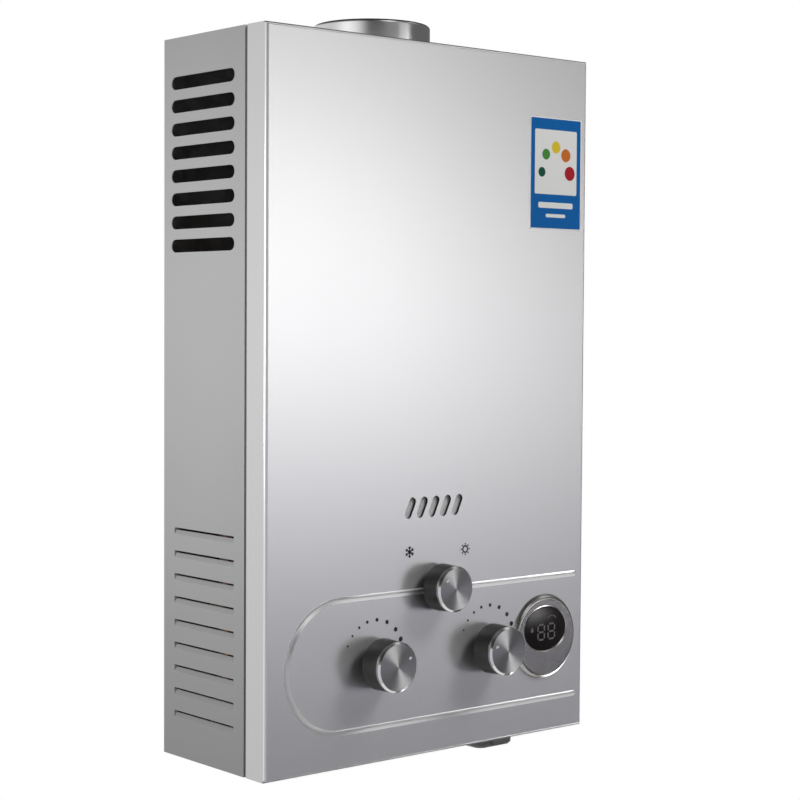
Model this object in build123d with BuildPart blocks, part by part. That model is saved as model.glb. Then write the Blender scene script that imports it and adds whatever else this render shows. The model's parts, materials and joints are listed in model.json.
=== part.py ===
"""Wall-hung instantaneous gas water heater, in millimetres.

The origin is the middle of the casing's back face, which is also the middle of the four wall holes.
+X is to the right seen from the front, the front faces -Y, the wall is the plane y = 0 and +Z is up.
"""

import os
from math import atan, cos, degrees, pi, sin

from build123d import *

os.makedirs("parts", exist_ok=True)

# Casing
casing_width = 350.0
casing_height = 590.0
casing_depth = 142.0
sheet = 1.0
cover_depth = 24.8
cover_bend = 2.5
seam_gap = 3.0
lip_depth = 14.0
panel_flange = 12.0
wall_hole_radius = 4.0
wall_hole_inset_x = 20.0
wall_hole_inset_z = 20.0

# Flats that stand for round forms: visible rims, slot ends, pipes and hidden round pieces
rim_flat_count = 36
slot_end_flat_count = 6
pipe_flat_count = 12
hidden_flat_count = 12
hex_flat_count = 6

# Clearances
slip_gap = 0.3
seat_gap = 0.05
running_gap = 0.05
panel_hole_gap = 1.0

# Side vents, measured from the front face and from the casing's bottom edge
vent_front = 41.8
vent_length = 89.2
vent_width = 10.6
vent_top = 553.1
vent_pitch = 18.9
vent_count = 8
louvre_length = 84.4
louvre_height = 5.4
louvre_depth = 2.6
louvre_slit = 2.2
louvre_forward = 2.4
louvre_top = 189.7
louvre_pitch = 18.95
louvre_count = 9

# Front cover, heights measured from the casing's bottom edge
groove_top = 137.0
groove_bottom = 29.6
groove_left = -153.5
groove_right = 165.1
groove_width = 5.2
groove_depth = 1.5
groove_floor = 0.6
sight_middle_x = -1.5
sight_height = 206.7
sight_count = 5
sight_pitch = 12.9
sight_length = 18.6
sight_width = 7.4
sight_lean = 65.0
sight_lip = 1.0
screen_width = 84.0
screen_height = 30.0
screen_thickness = 0.5
cover_screw_x = 120.0
cover_screw_radius = 2.0
cover_screw_head = 4.2
cover_screw_head_height = 2.4
cover_screw_length = 8.0
cover_screw_inset = 6.0

# Knobs: back radius, front radius, gap behind and distance of the face from the cover
gas_knob_x = -63.4
water_knob_x = 58.1
knob_height = 82.6
knob_back_radius = 21.3
knob_face_radius = 20.5
knob_gap = 7.7
knob_reach = 29.0
gas_dimple_angle = 27.0
water_dimple_angle = 160.0
knob_dimple_orbit = 13.9
season_knob_x = 1.5
season_knob_height = 139.7
season_back_radius = 19.7
season_face_radius = 19.0
season_gap = 6.0
season_reach = 25.6
season_dimple_angle = 143.0
season_dimple_orbit = 12.4
cap_thickness = 3.4
cap_chamfer = 1.6
dimple_radius = 1.5
dimple_depth = 0.8
spindle_radius = 4.0
spindle_in_knob = 12.0
spindle_in_valve = 12.0
spindle_hole_radius = 7.0

# Display
display_x = 126.7
display_height = 84.8
bezel_radius = 37.2
bezel_proud = 3.8
bezel_chamfer = 3.7
bezel_neck_radius = 29.0
bezel_neck_length = 12.0
lens_offset_x = -0.5
lens_offset_z = 7.0
lens_half_width = 25.0
lens_half_height = 19.4
lens_thickness = 2.0
lens_recess = 0.4
board_width = 34.0
board_height = 26.0
board_thickness = 1.6
digit_block_width = 30.0
digit_block_height = 20.0
digit_block_depth = 5.0

# Flue collar and hood
flue_radius = 50.0
flue_wall = 1.2
flue_height = 22.5
flue_rim = 2.6
hood_drop = 180.0
hood_shoulder_drop = 34.0
hood_shoulder_width = 100.0
hood_neck_radius = 44.0
hood_window_width = 50.0
hood_window_height = 32.0

# Heat exchanger, chamber and burner
stack_from_wall = 55.0
stack_width = 190.0
stack_depth = 90.0
exchanger_height = 60.0
chamber_height = 152.0
fin_count = 7
fin_pitch = 26.0
fin_thickness = 0.8
fin_margin = 1.5
tube_radius = 7.0
tube_pitch = 28.0
tube_straight_out = 6.0
tube_end_out = 15.0
pipe_bend = 18.0
bend_chords = 2
pipe_side_run = 20.0
bracket_width = 20.0
bracket_x = 70.0
bracket_height = 44.0
sight_window_width = 72.0
sight_window_height = 16.0
tray_height = 50.0
ledge_width = 8.0
ledge_rise = 3.0
bar_count = 7
bar_pitch = 25.0
bar_thickness = 12.0
bar_end_gap = 2.0
bar_duct_height = 18.0
bar_slot_height = 6.0
bar_slot_end = 16.0
port_width = 2.0
port_depth = 4.0
port_end = 6.0
throat_width = 7.0
throat_height = 11.0
throat_depth = 24.0
tray_window_margin = 6.0
tray_window_height = 16.0
manifold_depth = 16.0
manifold_height = 20.0
manifold_stand_off = 4.0
manifold_foot = 8.0
injector_radius = 5.0
injector_length = 6.5
electrode_x = 52.0
electrode_radius = 4.0
electrode_inside = 6.5
electrode_length = 24.0
electrode_wire_radius = 1.0
electrode_wire_length = 30.0
thermostat_x = 60.0
thermostat_radius = 8.0
thermostat_depth = 7.0
terminal_length = 8.0
terminal_width = 4.0
terminal_spacing = 8.0

# Gas and water valves
valve_half_height = 30.0
valve_riser_margin = 1.0
valve_back_from_wall = 45.0
valve_edge = 6.0
rod_from_wall = 85.0
gas_valve_half_width = 30.0
water_valve_half_width = 15.0
gas_chamber_radius = 17.0
gas_seat_wall = 12.0
gas_port_radius = 9.0
rod_guide = 5.0
rod_radius = 2.5
rod_travel = 4.0
rod_tail = 2.0
poppet_radius = 13.0
poppet_thickness = 4.0
solenoid_flange = 5.0
solenoid_radius = 13.0
solenoid_length = 30.0
season_valve_half_width = 18.0
season_valve_drop = 16.0
season_valve_depth = 24.0
diaphragm_seat = 8.0
diaphragm_flat = 60.0
diaphragm_thickness = 1.2
water_cover_thickness = 12.0
water_cavity_radius = 22.0
water_cavity_depth = 9.0
water_neck_radius = 8.0
water_neck_length = 12.0
push_plate_radius = 19.0
push_plate_thickness = 3.0
collar_radius = 6.0
collar_thickness = 4.0

# Micro switch
switch_pivot_x = -4.0
switch_pivot_rise = 19.0
switch_length = 28.0
switch_width = 10.0
switch_body_height = 16.0
switch_foot = 5.0
ear_thickness = 2.0
ear_reach = 2.5
pivot_radius = 1.0
pivot_to_body = 2.0
lever_thickness = 1.5
lever_width = 6.0
lever_overlap = 2.5

# Pipe connections through the floor
union_from_wall = 60.0
thread_radius = 10.48
thread_length = 13.0
union_bore_radius = 7.5
union_bore_depth = 20.0
union_hex_radius = 15.0
drain_from_wall = 27.0
drain_leg_radius = 8.0
drain_arm_height = 16.0
drain_leg_bottom = 9.0
drain_stem_radius = 5.0
drain_stem_length = 10.0
drain_knob_radius = 9.5
drain_knob_height = 15.0
drain_knob_sides = 12
riser_up = 24.0
sensor_height = 115.0
sensor_size = 20.0
sensor_thickness = 12.0

# Igniter
igniter_clearance = 10.0
igniter_width = 54.0
igniter_height = 84.0
igniter_depth = 28.0
igniter_edge = 4.0
igniter_headroom = 4.0
igniter_post_width = 8.0
igniter_post_length = 9.0
igniter_post_spacing = 22.0

# Battery box
battery_x = 104.5
battery_front = 34.0
battery_box_width = 43.0
battery_box_depth = 75.0
battery_box_corner = 9.0
battery_wall = 2.4
battery_below = 11.6
cell_radius = 17.1
cell_length = 61.5
contact_thickness = 0.6
contact_width = 14.0
contact_gap = 0.2
box_flange = 3.0
box_flange_thickness = 2.5
lid_thickness = 4.0
lid_edge = 1.8
lid_gap = 0.2
lid_leaf_length = 60.0
lug_width = 4.0
lug_inset = 0.5
lug_radius = 3.2
lug_behind = 3.6
lid_pin_radius = 1.2
latch_width = 14.0
latch_height = 6.0
latch_thickness = 1.4

# Planes and edges that the pieces share
half_width = casing_width / 2
top = casing_height / 2
bottom = -casing_height / 2
front = -casing_depth
inner_x = half_width - sheet
roof = top - sheet
floor = bottom + sheet
back_inside = -sheet
cover_inside = front + sheet
cover_edge = front + cover_depth
body_front = cover_edge + seam_gap
lip_outside = inner_x - slip_gap
lip_inside = lip_outside - sheet
lip_front = body_front - lip_depth
lip_z = roof - slip_gap
knob_z = bottom + knob_height
season_z = bottom + season_knob_height
display_z = bottom + display_height
sight_z = bottom + sight_height

stack_y = -stack_from_wall
stack_front = stack_y - stack_depth / 2
stack_back = stack_y + stack_depth / 2
hood_base = top - hood_drop
hood_shoulder = top - hood_shoulder_drop
exchanger_base = hood_base - exchanger_height
tube_z = hood_base - exchanger_height / 2
chamber_base = exchanger_base - chamber_height
tray_base = chamber_base - tray_height
bar_base = tray_base + ledge_rise
throat_z = bar_base + bar_duct_height / 2
bar_front = stack_front + sheet + bar_end_gap
bar_back = stack_back - sheet - bar_end_gap
bar_places = [(i - (bar_count - 1) / 2) * bar_pitch for i in range(bar_count)]
manifold_back = stack_front - manifold_stand_off
manifold_front = manifold_back - manifold_depth
manifold_y = manifold_back - manifold_depth / 2
gas_riser_radius = manifold_depth / 2
manifold_base = throat_z - manifold_height / 2
tube_ys = [stack_y + (i - 1) * tube_pitch for i in range(3)]
tube_end_x = stack_width / 2 + tube_end_out
pipe_x = tube_end_x + pipe_side_run

valve_front = manifold_front - valve_edge - valve_riser_margin
valve_back = -valve_back_from_wall
valve_base = knob_z - valve_half_height
valve_top = knob_z + valve_half_height
rod_y = -rod_from_wall
gas_left = gas_knob_x - gas_valve_half_width
gas_right = gas_knob_x + gas_valve_half_width
gas_seat = gas_right - gas_seat_wall
water_left = water_knob_x - water_valve_half_width
water_right = water_knob_x + water_valve_half_width
diaphragm_right = water_left - diaphragm_seat
diaphragm_left = diaphragm_right - diaphragm_thickness
water_cover_left = diaphragm_left - water_cover_thickness
water_neck_left = water_cover_left - water_neck_length
union_y = -union_from_wall
hot_y = tube_ys[-1]
drain_y = -drain_from_wall
union_places = [(-pipe_x, hot_y), (gas_knob_x, union_y), (water_knob_x, union_y)]
switch_pivot_z = knob_z + switch_pivot_rise
box_front = front + battery_front
box_back = box_front + battery_box_depth
box_y = (box_front + box_back) / 2
box_bottom = bottom - battery_below
cell_bottom = box_bottom - lid_gap + contact_thickness + contact_gap
cell_top = cell_bottom + cell_length
box_ceiling = cell_top + contact_thickness
hinge_y = box_back + lug_behind
hinge_z = box_bottom - lid_gap - lid_thickness / 2


def slab(corner, opposite, mode=Mode.ADD):
    """A rectangular block between two opposite corners."""
    middle = [(a + b) / 2 for a, b in zip(corner, opposite)]
    size = [abs(a - b) for a, b in zip(corner, opposite)]
    with Locations(tuple(middle)):
        Box(*size, mode=mode)


def rod(start, end, radius, mode=Mode.ADD):
    """A round bar, or a bore, from one point to another."""
    along = Vector(*end) - Vector(*start)
    with Locations(Plane(origin=start, z_dir=along)):
        Cylinder(radius, along.length, align=(Align.CENTER, Align.CENTER, Align.MIN), mode=mode)


def bar(start, end, radius, flats, mode=Mode.ADD):
    """A prism with equal flats, or a hole of that form, whose flats lie at the radius from its axis."""
    along = Vector(*end) - Vector(*start)
    with BuildSketch(Plane(origin=start, z_dir=along)) as section:
        RegularPolygon(radius, flats, major_radius=False)
    extrude(section.sketch, amount=along.length, mode=mode)


def round_ended(length, width):
    """Outline points of a slot whose two ends are half rounds made of short flats."""
    radius = width / 2
    turns = [pi * (i / slot_end_flat_count - 0.5) for i in range(slot_end_flat_count + 1)]
    right = [(length / 2 - radius + radius * cos(t), radius * sin(t)) for t in turns]
    return right + [(-x, -y) for x, y in right]


def oval(half_width, half_height):
    """Outline points of an ellipse made of short flats."""
    turns = [2 * pi * i / rim_flat_count for i in range(rim_flat_count)]
    return [(half_width * cos(t), half_height * sin(t)) for t in turns]


def upright(y):
    """A plane parallel to the wall whose normal points to the front."""
    return Plane.XZ.offset(-y)


def save(piece, name):
    """Label a finished piece and write it to its own file."""
    piece.label = name
    export_step(piece, f"parts/{name}.step")


# Back panel with the wall holes
with BuildPart() as back_panel:
    slab((-inner_x, back_inside, floor), (inner_x, 0, roof))
    with BuildSketch(Plane.XZ):
        spacing = (casing_width - 2 * wall_hole_inset_x, casing_height - 2 * wall_hole_inset_z)
        with GridLocations(*spacing, 2, 2):
            Circle(wall_hole_radius)
    extrude(amount=2 * sheet, both=True, mode=Mode.SUBTRACT)
save(back_panel.part, "back_panel")


def side_panel(side):
    """Side wall with a joggled lip inside the cover, vent slots above and louvres below."""
    with BuildPart() as panel:
        slab((side * inner_x, body_front, bottom), (side * half_width, 0, top))
        slab((side * lip_inside, body_front, -lip_z), (side * inner_x, body_front + sheet, lip_z))
        slab((side * lip_inside, lip_front, -lip_z), (side * lip_outside, body_front, lip_z))
        vent_middle = front + vent_front + vent_length / 2
        vents = [(vent_middle, bottom + vent_top - i * vent_pitch) for i in range(vent_count)]
        with BuildSketch(Plane.YZ.offset(side * half_width)):
            with Locations(*vents):
                Polygon(*round_ended(vent_length, vent_width))
        extrude(amount=2 * sheet, both=True, mode=Mode.SUBTRACT)
        louvre_tops = [bottom + louvre_top - i * louvre_pitch for i in range(louvre_count)]
        louvre_front = vent_middle - louvre_forward - louvre_length / 2
        tongue_x = half_width - louvre_depth
        with BuildSketch(upright(louvre_front + louvre_length + sheet)):
            for z in louvre_tops:
                low, high = z - louvre_height, z - louvre_slit
                tongue = [(inner_x, low), (inner_x, z), (tongue_x - sheet, z), (tongue_x - sheet, high)]
                with BuildLine():
                    Polyline(*[(side * x, height) for x, height in tongue], close=True)
                make_face()
        extrude(amount=louvre_length + 2 * sheet)
        with BuildSketch(upright(louvre_front + louvre_length)):
            for z in louvre_tops:
                low, high = z - louvre_height, z - louvre_slit
                pocket = [(half_width, low), (half_width, z), (inner_x, z), (inner_x, z + sheet)]
                behind = tongue_x - 2 * sheet
                pocket += [(behind, z + sheet), (behind, high), (tongue_x, high)]
                with BuildLine():
                    Polyline(*[(side * x, height) for x, height in pocket], close=True)
                make_face()
        extrude(amount=louvre_length, mode=Mode.SUBTRACT)
    return panel.part


save(side_panel(-1), "left_side_panel")
save(side_panel(1), "right_side_panel")


def end_panel(outer, inner, inward):
    """Top or bottom wall: a shallow pan with turned flanges and a joggled lip inside the cover."""
    lip_face = inner + inward * slip_gap
    lip_x = lip_inside - slip_gap
    flange_front = body_front + 2 * sheet
    slab((-inner_x, flange_front, outer), (inner_x, back_inside, inner + inward * panel_flange))
    inside = (inner_x - sheet, back_inside - sheet, inner + inward * panel_flange)
    slab((-inside[0], flange_front, inner), inside, mode=Mode.SUBTRACT)
    slab((-inner_x, body_front, outer), (inner_x, flange_front, inner))
    slab((-lip_x, body_front, inner), (lip_x, body_front + sheet, lip_face + inward * sheet))
    slab((-lip_x, lip_front, lip_face), (lip_x, body_front, lip_face + inward * sheet))


# Top panel with the flue hole
with BuildPart() as top_panel:
    end_panel(top, roof, -1)
    hole = (0, stack_y, roof - sheet), (0, stack_y, top + sheet)
    bar(*hole, flue_radius - flue_rim - flue_wall, rim_flat_count, Mode.SUBTRACT)
save(top_panel.part, "top_panel")

# Bottom panel with the holes for the unions, the drain, the battery box and the cover screws
screw_y = cover_edge - cover_screw_inset
with BuildPart() as bottom_panel:
    end_panel(bottom, floor, 1)
    for x, y in union_places:
        hole = (x, y, bottom - sheet), (x, y, floor + sheet)
        bar(*hole, thread_radius + panel_hole_gap, hidden_flat_count, Mode.SUBTRACT)
    hole = (water_knob_x, drain_y, bottom - sheet), (water_knob_x, drain_y, floor + sheet)
    bar(*hole, drain_knob_radius + panel_hole_gap, hidden_flat_count, Mode.SUBTRACT)
    with BuildSketch(Plane.XY.offset(bottom)):
        with Locations((battery_x, box_y)):
            RectangleRounded(
                battery_box_width + 2 * slip_gap,
                battery_box_depth + 2 * slip_gap,
                battery_box_corner + slip_gap,
            )
    extrude(amount=2 * sheet, both=True, mode=Mode.SUBTRACT)
    for x in (-cover_screw_x, cover_screw_x):
        hole = (x, screw_y, bottom), (x, screw_y, floor + 4 * sheet)
        bar(*hole, cover_screw_radius + seat_gap, hidden_flat_count, Mode.SUBTRACT)
save(bottom_panel.part, "bottom_panel")

# Front cover: a pressed pan with an open stadium groove, sight slots and the control holes
groove_mid = bottom + (groove_top + groove_bottom) / 2
groove_bend = (groove_top - groove_bottom) / 2
groove_taper = degrees(atan((groove_width - groove_floor) / 2 / groove_depth))
groove_ends = [(groove_right, bottom + groove_top), (groove_right, bottom + groove_bottom)]
sight_steps = [i - (sight_count - 1) / 2 for i in range(sight_count)]
sight_places = [(sight_middle_x + step * sight_pitch, sight_z) for step in sight_steps]


def groove_shape(width):
    """The groove's outline on the cover's face, with round ends."""
    with BuildSketch(upright(front)) as shape:
        with BuildLine():
            turn_x = groove_left + groove_bend
            Line(groove_ends[0], (turn_x, groove_mid + groove_bend))
            ThreePointArc(
                (turn_x, groove_mid + groove_bend),
                (groove_left, groove_mid),
                (turn_x, groove_mid - groove_bend),
            )
            Line((turn_x, groove_mid - groove_bend), groove_ends[1])
        trace(line_width=width)
        with Locations(*groove_ends):
            Circle(width / 2)
    return shape.sketch


with BuildPart() as front_cover:
    slab((-half_width, front, bottom), (half_width, cover_edge, top))
    fillet(front_cover.faces().sort_by(Axis.Y)[0].edges(), radius=cover_bend)
    offset(amount=-sheet, openings=front_cover.faces().sort_by(Axis.Y)[-1])
    extrude(groove_shape(groove_width + 2 * sheet), amount=-groove_depth - sheet)
    extrude(groove_shape(groove_width), amount=-groove_depth, taper=groove_taper, mode=Mode.SUBTRACT)
    with BuildSketch(upright(cover_inside)):
        with Locations(*sight_places):
            Polygon(*round_ended(sight_length + 2 * sheet, sight_width + 2 * sheet), rotation=sight_lean)
    extrude(amount=-sight_lip)
    with BuildSketch(upright(front)):
        with Locations(*sight_places):
            Polygon(*round_ended(sight_length, sight_width), rotation=sight_lean)
        with Locations((gas_knob_x, knob_z), (water_knob_x, knob_z), (season_knob_x, season_z)):
            RegularPolygon(spindle_hole_radius, hidden_flat_count, major_radius=False)
        with Locations((display_x, display_z)):
            RegularPolygon(bezel_neck_radius + slip_gap, hidden_flat_count, major_radius=False)
    extrude(amount=2 * (sheet + groove_depth), both=True, mode=Mode.SUBTRACT)
    for x in (-cover_screw_x, cover_screw_x):
        hole = (x, screw_y, bottom - sheet), (x, screw_y, floor)
        bar(*hole, cover_screw_radius + seat_gap, hidden_flat_count, Mode.SUBTRACT)
save(front_cover.part, "front_cover")

with BuildPart() as cover_screws:
    for x in (-cover_screw_x, cover_screw_x):
        seat = (x, screw_y, bottom)
        bar(seat, (x, screw_y, bottom + cover_screw_length), cover_screw_radius, hidden_flat_count)
        bar(seat, (x, screw_y, bottom - cover_screw_head_height), cover_screw_head, hidden_flat_count)
save(cover_screws.part, "cover_screws")

# Wire screen in a shallow frame behind the sight slots
with BuildPart() as sight_screen:
    screen_back = cover_inside + sight_lip + slip_gap
    half_screen = (screen_width / 2, screen_height / 2)
    slab(
        (sight_middle_x - half_screen[0], cover_inside, sight_z - half_screen[1]),
        (sight_middle_x + half_screen[0], screen_back + screen_thickness, sight_z + half_screen[1]),
    )
    rim = 2 * sheet
    slab(
        (sight_middle_x - half_screen[0] + rim, cover_inside, sight_z - half_screen[1] + rim),
        (sight_middle_x + half_screen[0] - rim, screen_back, sight_z + half_screen[1] - rim),
        mode=Mode.SUBTRACT,
    )
save(sight_screen.part, "sight_screen")

# Flue collar with a rounded rim, and the hood below it
with BuildPart() as flue_collar:
    rim_top = top + flue_height
    rod((0, stack_y, top), (0, stack_y, rim_top), flue_radius)
    chamfer(flue_collar.faces().sort_by(Axis.Z)[-1].edges(), length=flue_rim)
    flue_bore = flue_radius - flue_rim - flue_wall
    bar((0, stack_y, top), (0, stack_y, rim_top), flue_bore, rim_flat_count, Mode.SUBTRACT)
save(flue_collar.part, "flue_collar")

with BuildPart() as flue_hood:
    for inset, mode in ((0, Mode.ADD), (sheet, Mode.SUBTRACT)):
        with BuildSketch(upright(stack_back - inset)):
            with BuildLine():
                Polyline(
                    (inset - stack_width / 2, hood_base),
                    (stack_width / 2 - inset, hood_base),
                    (hood_shoulder_width / 2 - inset, hood_shoulder - inset),
                    (inset - hood_shoulder_width / 2, hood_shoulder - inset),
                    close=True,
                )
            make_face()
        extrude(amount=stack_depth - 2 * inset, mode=mode)
    neck_top = top + flue_height / 2
    neck = (0, stack_y, hood_shoulder - sheet), (0, stack_y, neck_top)
    bar(*neck, hood_neck_radius, 2 * hidden_flat_count)
    neck_bore = (0, stack_y, hood_shoulder - 2 * sheet), (0, stack_y, neck_top)
    bar(*neck_bore, hood_neck_radius - sheet, 2 * hidden_flat_count, Mode.SUBTRACT)
    window_z = (hood_base + hood_shoulder) / 2
    window = (half_width, hood_window_width / 2, hood_window_height / 2)
    slab(
        (-window[0], stack_y - window[1], window_z - window[2]),
        (window[0], stack_y + window[1], window_z + window[2]),
        mode=Mode.SUBTRACT,
    )
save(flue_hood.part, "flue_hood")

# Heat exchanger: shell, fins and a three-pass tube
with BuildPart() as exchanger_shell:
    slab((-stack_width / 2, stack_front, exchanger_base), (stack_width / 2, stack_back, hood_base))
    slab(
        (sheet - stack_width / 2, stack_front + sheet, exchanger_base),
        (stack_width / 2 - sheet, stack_back - sheet, hood_base),
        mode=Mode.SUBTRACT,
    )
    for y in tube_ys:
        hole = (-stack_width / 2, y, tube_z), (stack_width / 2, y, tube_z)
        bar(*hole, tube_radius + seat_gap, hex_flat_count, Mode.SUBTRACT)
save(exchanger_shell.part, "exchanger_shell")

with BuildPart() as exchanger_fins:
    fin_places = [(i - (fin_count - 1) / 2) * fin_pitch - fin_thickness / 2 for i in range(fin_count)]
    with BuildSketch(*[Plane.YZ.offset(x) for x in fin_places]):
        with Locations((stack_y, tube_z)):
            Rectangle(stack_depth - 2 * (sheet + seat_gap), exchanger_height - 2 * fin_margin)
        with Locations(*[(y, tube_z) for y in tube_ys]):
            RegularPolygon(tube_radius + seat_gap, hex_flat_count, major_radius=False, mode=Mode.SUBTRACT)
    extrude(amount=fin_thickness)
save(exchanger_fins.part, "exchanger_fins")


def pipe(corners, bend):
    """A pipe through a row of square corners, each bend made of short straight chords."""
    route = [Vector(*corners[0])]
    for before, corner, after in zip(corners, corners[1:], corners[2:]):
        inward = (Vector(*before) - Vector(*corner)).normalized()
        outward = (Vector(*after) - Vector(*corner)).normalized()
        centre = Vector(*corner) + (inward + outward) * bend
        for step in range(bend_chords + 1):
            turn = pi / 2 * step / bend_chords
            point = centre - (outward * cos(turn) + inward * sin(turn)) * bend
            if (point - route[-1]).length > seat_gap:
                route.append(point)
    route.append(Vector(*corners[-1]))
    with BuildPart() as tube:
        with BuildLine() as path:
            Polyline(*route)
        with BuildSketch(Plane(origin=route[0], z_dir=route[1] - route[0])):
            RegularPolygon(tube_radius, pipe_flat_count)
        sweep(path=path.line, transition=Transition.RIGHT)
    return tube.part


turn_x = stack_width / 2 + tube_straight_out + tube_pitch / 2
exchanger_corners = [
    (tube_end_x, tube_ys[0], tube_z),
    (-turn_x, tube_ys[0], tube_z),
    (-turn_x, tube_ys[1], tube_z),
    (turn_x, tube_ys[1], tube_z),
    (turn_x, tube_ys[2], tube_z),
    (-tube_end_x, tube_ys[2], tube_z),
]
save(pipe(exchanger_corners, tube_pitch / 2), "exchanger_tube")

with BuildPart() as exchanger_brackets:
    for side in (-1, 1):
        bracket_low = (side * bracket_x - bracket_width / 2, stack_back, tube_z - bracket_height / 2)
        bracket_high = (side * bracket_x + bracket_width / 2, back_inside, tube_z + bracket_height / 2)
        slab(bracket_low, bracket_high)
        slab(
            (bracket_low[0], stack_back + 2 * sheet, bracket_low[2] + 2 * sheet),
            (bracket_high[0], back_inside - 2 * sheet, bracket_high[2] - 2 * sheet),
            mode=Mode.SUBTRACT,
        )
save(exchanger_brackets.part, "exchanger_brackets")

# Combustion chamber with a sight window and two electrode holes
electrode_z = sight_z
with BuildPart() as combustion_chamber:
    slab((-stack_width / 2, stack_front, chamber_base), (stack_width / 2, stack_back, exchanger_base))
    slab(
        (sheet - stack_width / 2, stack_front + sheet, chamber_base),
        (stack_width / 2 - sheet, stack_back - sheet, exchanger_base),
        mode=Mode.SUBTRACT,
    )
    half_window = (sight_window_width / 2, sight_window_height / 2)
    slab(
        (sight_middle_x - half_window[0], stack_front - sheet, sight_z - half_window[1]),
        (sight_middle_x + half_window[0], stack_front + 2 * sheet, sight_z + half_window[1]),
        mode=Mode.SUBTRACT,
    )
    for x in (-electrode_x, electrode_x):
        hole = (x, stack_front - sheet, electrode_z), (x, stack_front + 2 * sheet, electrode_z)
        bar(*hole, electrode_radius + seat_gap, hidden_flat_count, Mode.SUBTRACT)
save(combustion_chamber.part, "combustion_chamber")

with BuildPart() as electrode_insulators:
    for x in (-electrode_x, electrode_x):
        tip = stack_front + electrode_inside
        sleeve_end = (x, tip - electrode_length, electrode_z)
        bar(sleeve_end, (x, tip, electrode_z), electrode_radius, hidden_flat_count)
save(electrode_insulators.part, "electrode_insulators")

with BuildPart() as electrode_wires:
    for x in (-electrode_x, electrode_x):
        start = stack_front + electrode_inside
        wire_end = (x, start + electrode_wire_length, electrode_z)
        bar((x, start, electrode_z), wire_end, electrode_wire_radius, hex_flat_count)
save(electrode_wires.part, "electrode_wires")

# Burner tray, bars, manifold and injectors
with BuildPart() as burner_tray:
    slab((-stack_width / 2, stack_front, tray_base), (stack_width / 2, stack_back, chamber_base))
    slab(
        (sheet - stack_width / 2, stack_front + sheet, tray_base),
        (stack_width / 2 - sheet, stack_back - sheet, chamber_base),
        mode=Mode.SUBTRACT,
    )
    for edge, inward in ((stack_front, 1), (stack_back, -1)):
        slab(
            (sheet - stack_width / 2, edge + inward * sheet, bar_base - sheet),
            (stack_width / 2 - sheet, edge + inward * (sheet + ledge_width), bar_base),
        )
    window_x = stack_width / 2 - tray_window_margin
    slab(
        (-window_x, stack_front - sheet, throat_z - tray_window_height / 2),
        (window_x, stack_front + sheet, throat_z + tray_window_height / 2),
        mode=Mode.SUBTRACT,
    )
save(burner_tray.part, "burner_tray")

with BuildPart() as burner_bars:
    bar_middle = (bar_front + bar_back) / 2
    bar_length = bar_back - bar_front
    with BuildSketch(*[Plane.YZ.offset(x - bar_thickness / 2) for x in bar_places]):
        with Locations((bar_middle, (bar_base + chamber_base) / 2)):
            Rectangle(bar_length, chamber_base - bar_base)
        slot_z = bar_base + bar_duct_height + bar_slot_height / 2
        with Locations((bar_middle - bar_slot_end / 2, slot_z)):
            Rectangle(bar_length - 2 * bar_slot_end, bar_slot_height, mode=Mode.SUBTRACT)
    extrude(amount=bar_thickness)
    for x in bar_places:
        slab(
            (x - port_width / 2, bar_front + port_end, chamber_base - port_depth),
            (x + port_width / 2, bar_back - port_end, chamber_base),
            mode=Mode.SUBTRACT,
        )
        slab(
            (x - throat_width / 2, bar_front, throat_z - throat_height / 2),
            (x + throat_width / 2, bar_front + throat_depth, throat_z + throat_height / 2),
            mode=Mode.SUBTRACT,
        )
save(burner_bars.part, "burner_bars")

with BuildPart() as gas_manifold:
    manifold_x = stack_width / 2
    slab(
        (-manifold_x, manifold_front, manifold_base),
        (manifold_x, manifold_back, manifold_base + manifold_height),
    )
    for side in (-1, 1):
        slab(
            (side * manifold_x, manifold_back, manifold_base),
            (side * (manifold_x - tray_window_margin), stack_front, manifold_base + manifold_foot),
        )
save(gas_manifold.part, "gas_manifold")

with BuildPart() as gas_injectors:
    with BuildSketch(upright(manifold_back)):
        with Locations(*[(x, throat_z) for x in bar_places]):
            RegularPolygon(injector_radius, hex_flat_count)
    extrude(amount=-injector_length)
save(gas_injectors.part, "gas_injectors")

# Gas valve: a chamfered casting bored along the push rod's axis
with BuildPart() as gas_valve_body:
    slab((gas_left, valve_front, valve_base), (gas_right, valve_back, valve_top))
    chamfer(gas_valve_body.edges().filter_by(Axis.X), length=valve_edge)
    chamber = (gas_left, rod_y, knob_z), (gas_seat, rod_y, knob_z)
    bar(*chamber, gas_chamber_radius, hidden_flat_count, Mode.SUBTRACT)
    guide_x = gas_right - rod_guide
    port = (gas_seat, rod_y, knob_z), (guide_x, rod_y, knob_z)
    bar(*port, gas_port_radius, hidden_flat_count, Mode.SUBTRACT)
    rod((guide_x, rod_y, knob_z), (gas_right, rod_y, knob_z), rod_radius + running_gap, Mode.SUBTRACT)
    gas_mouth = (gas_knob_x, valve_front, knob_z)
    gas_seat_end = (gas_knob_x, valve_front + spindle_in_valve, knob_z)
    rod(gas_mouth, gas_seat_end, spindle_radius + running_gap, Mode.SUBTRACT)
save(gas_valve_body.part, "gas_valve_body")

with BuildPart() as gas_solenoid:
    flange = gas_chamber_radius + valve_edge / 2
    slab(
        (gas_left - solenoid_flange, rod_y - flange, knob_z - flange),
        (gas_left, rod_y + flange, knob_z + flange),
    )
    flange_x = gas_left - solenoid_flange
    coil_end = (flange_x - solenoid_length, rod_y, knob_z)
    bar((flange_x, rod_y, knob_z), coil_end, solenoid_radius, hidden_flat_count)
save(gas_solenoid.part, "gas_solenoid")

with BuildPart() as gas_riser:
    riser_ends = (gas_knob_x, manifold_y, valve_top), (gas_knob_x, manifold_y, manifold_base)
    bar(*riser_ends, gas_riser_radius, pipe_flat_count)
save(gas_riser.part, "gas_riser")

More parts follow.
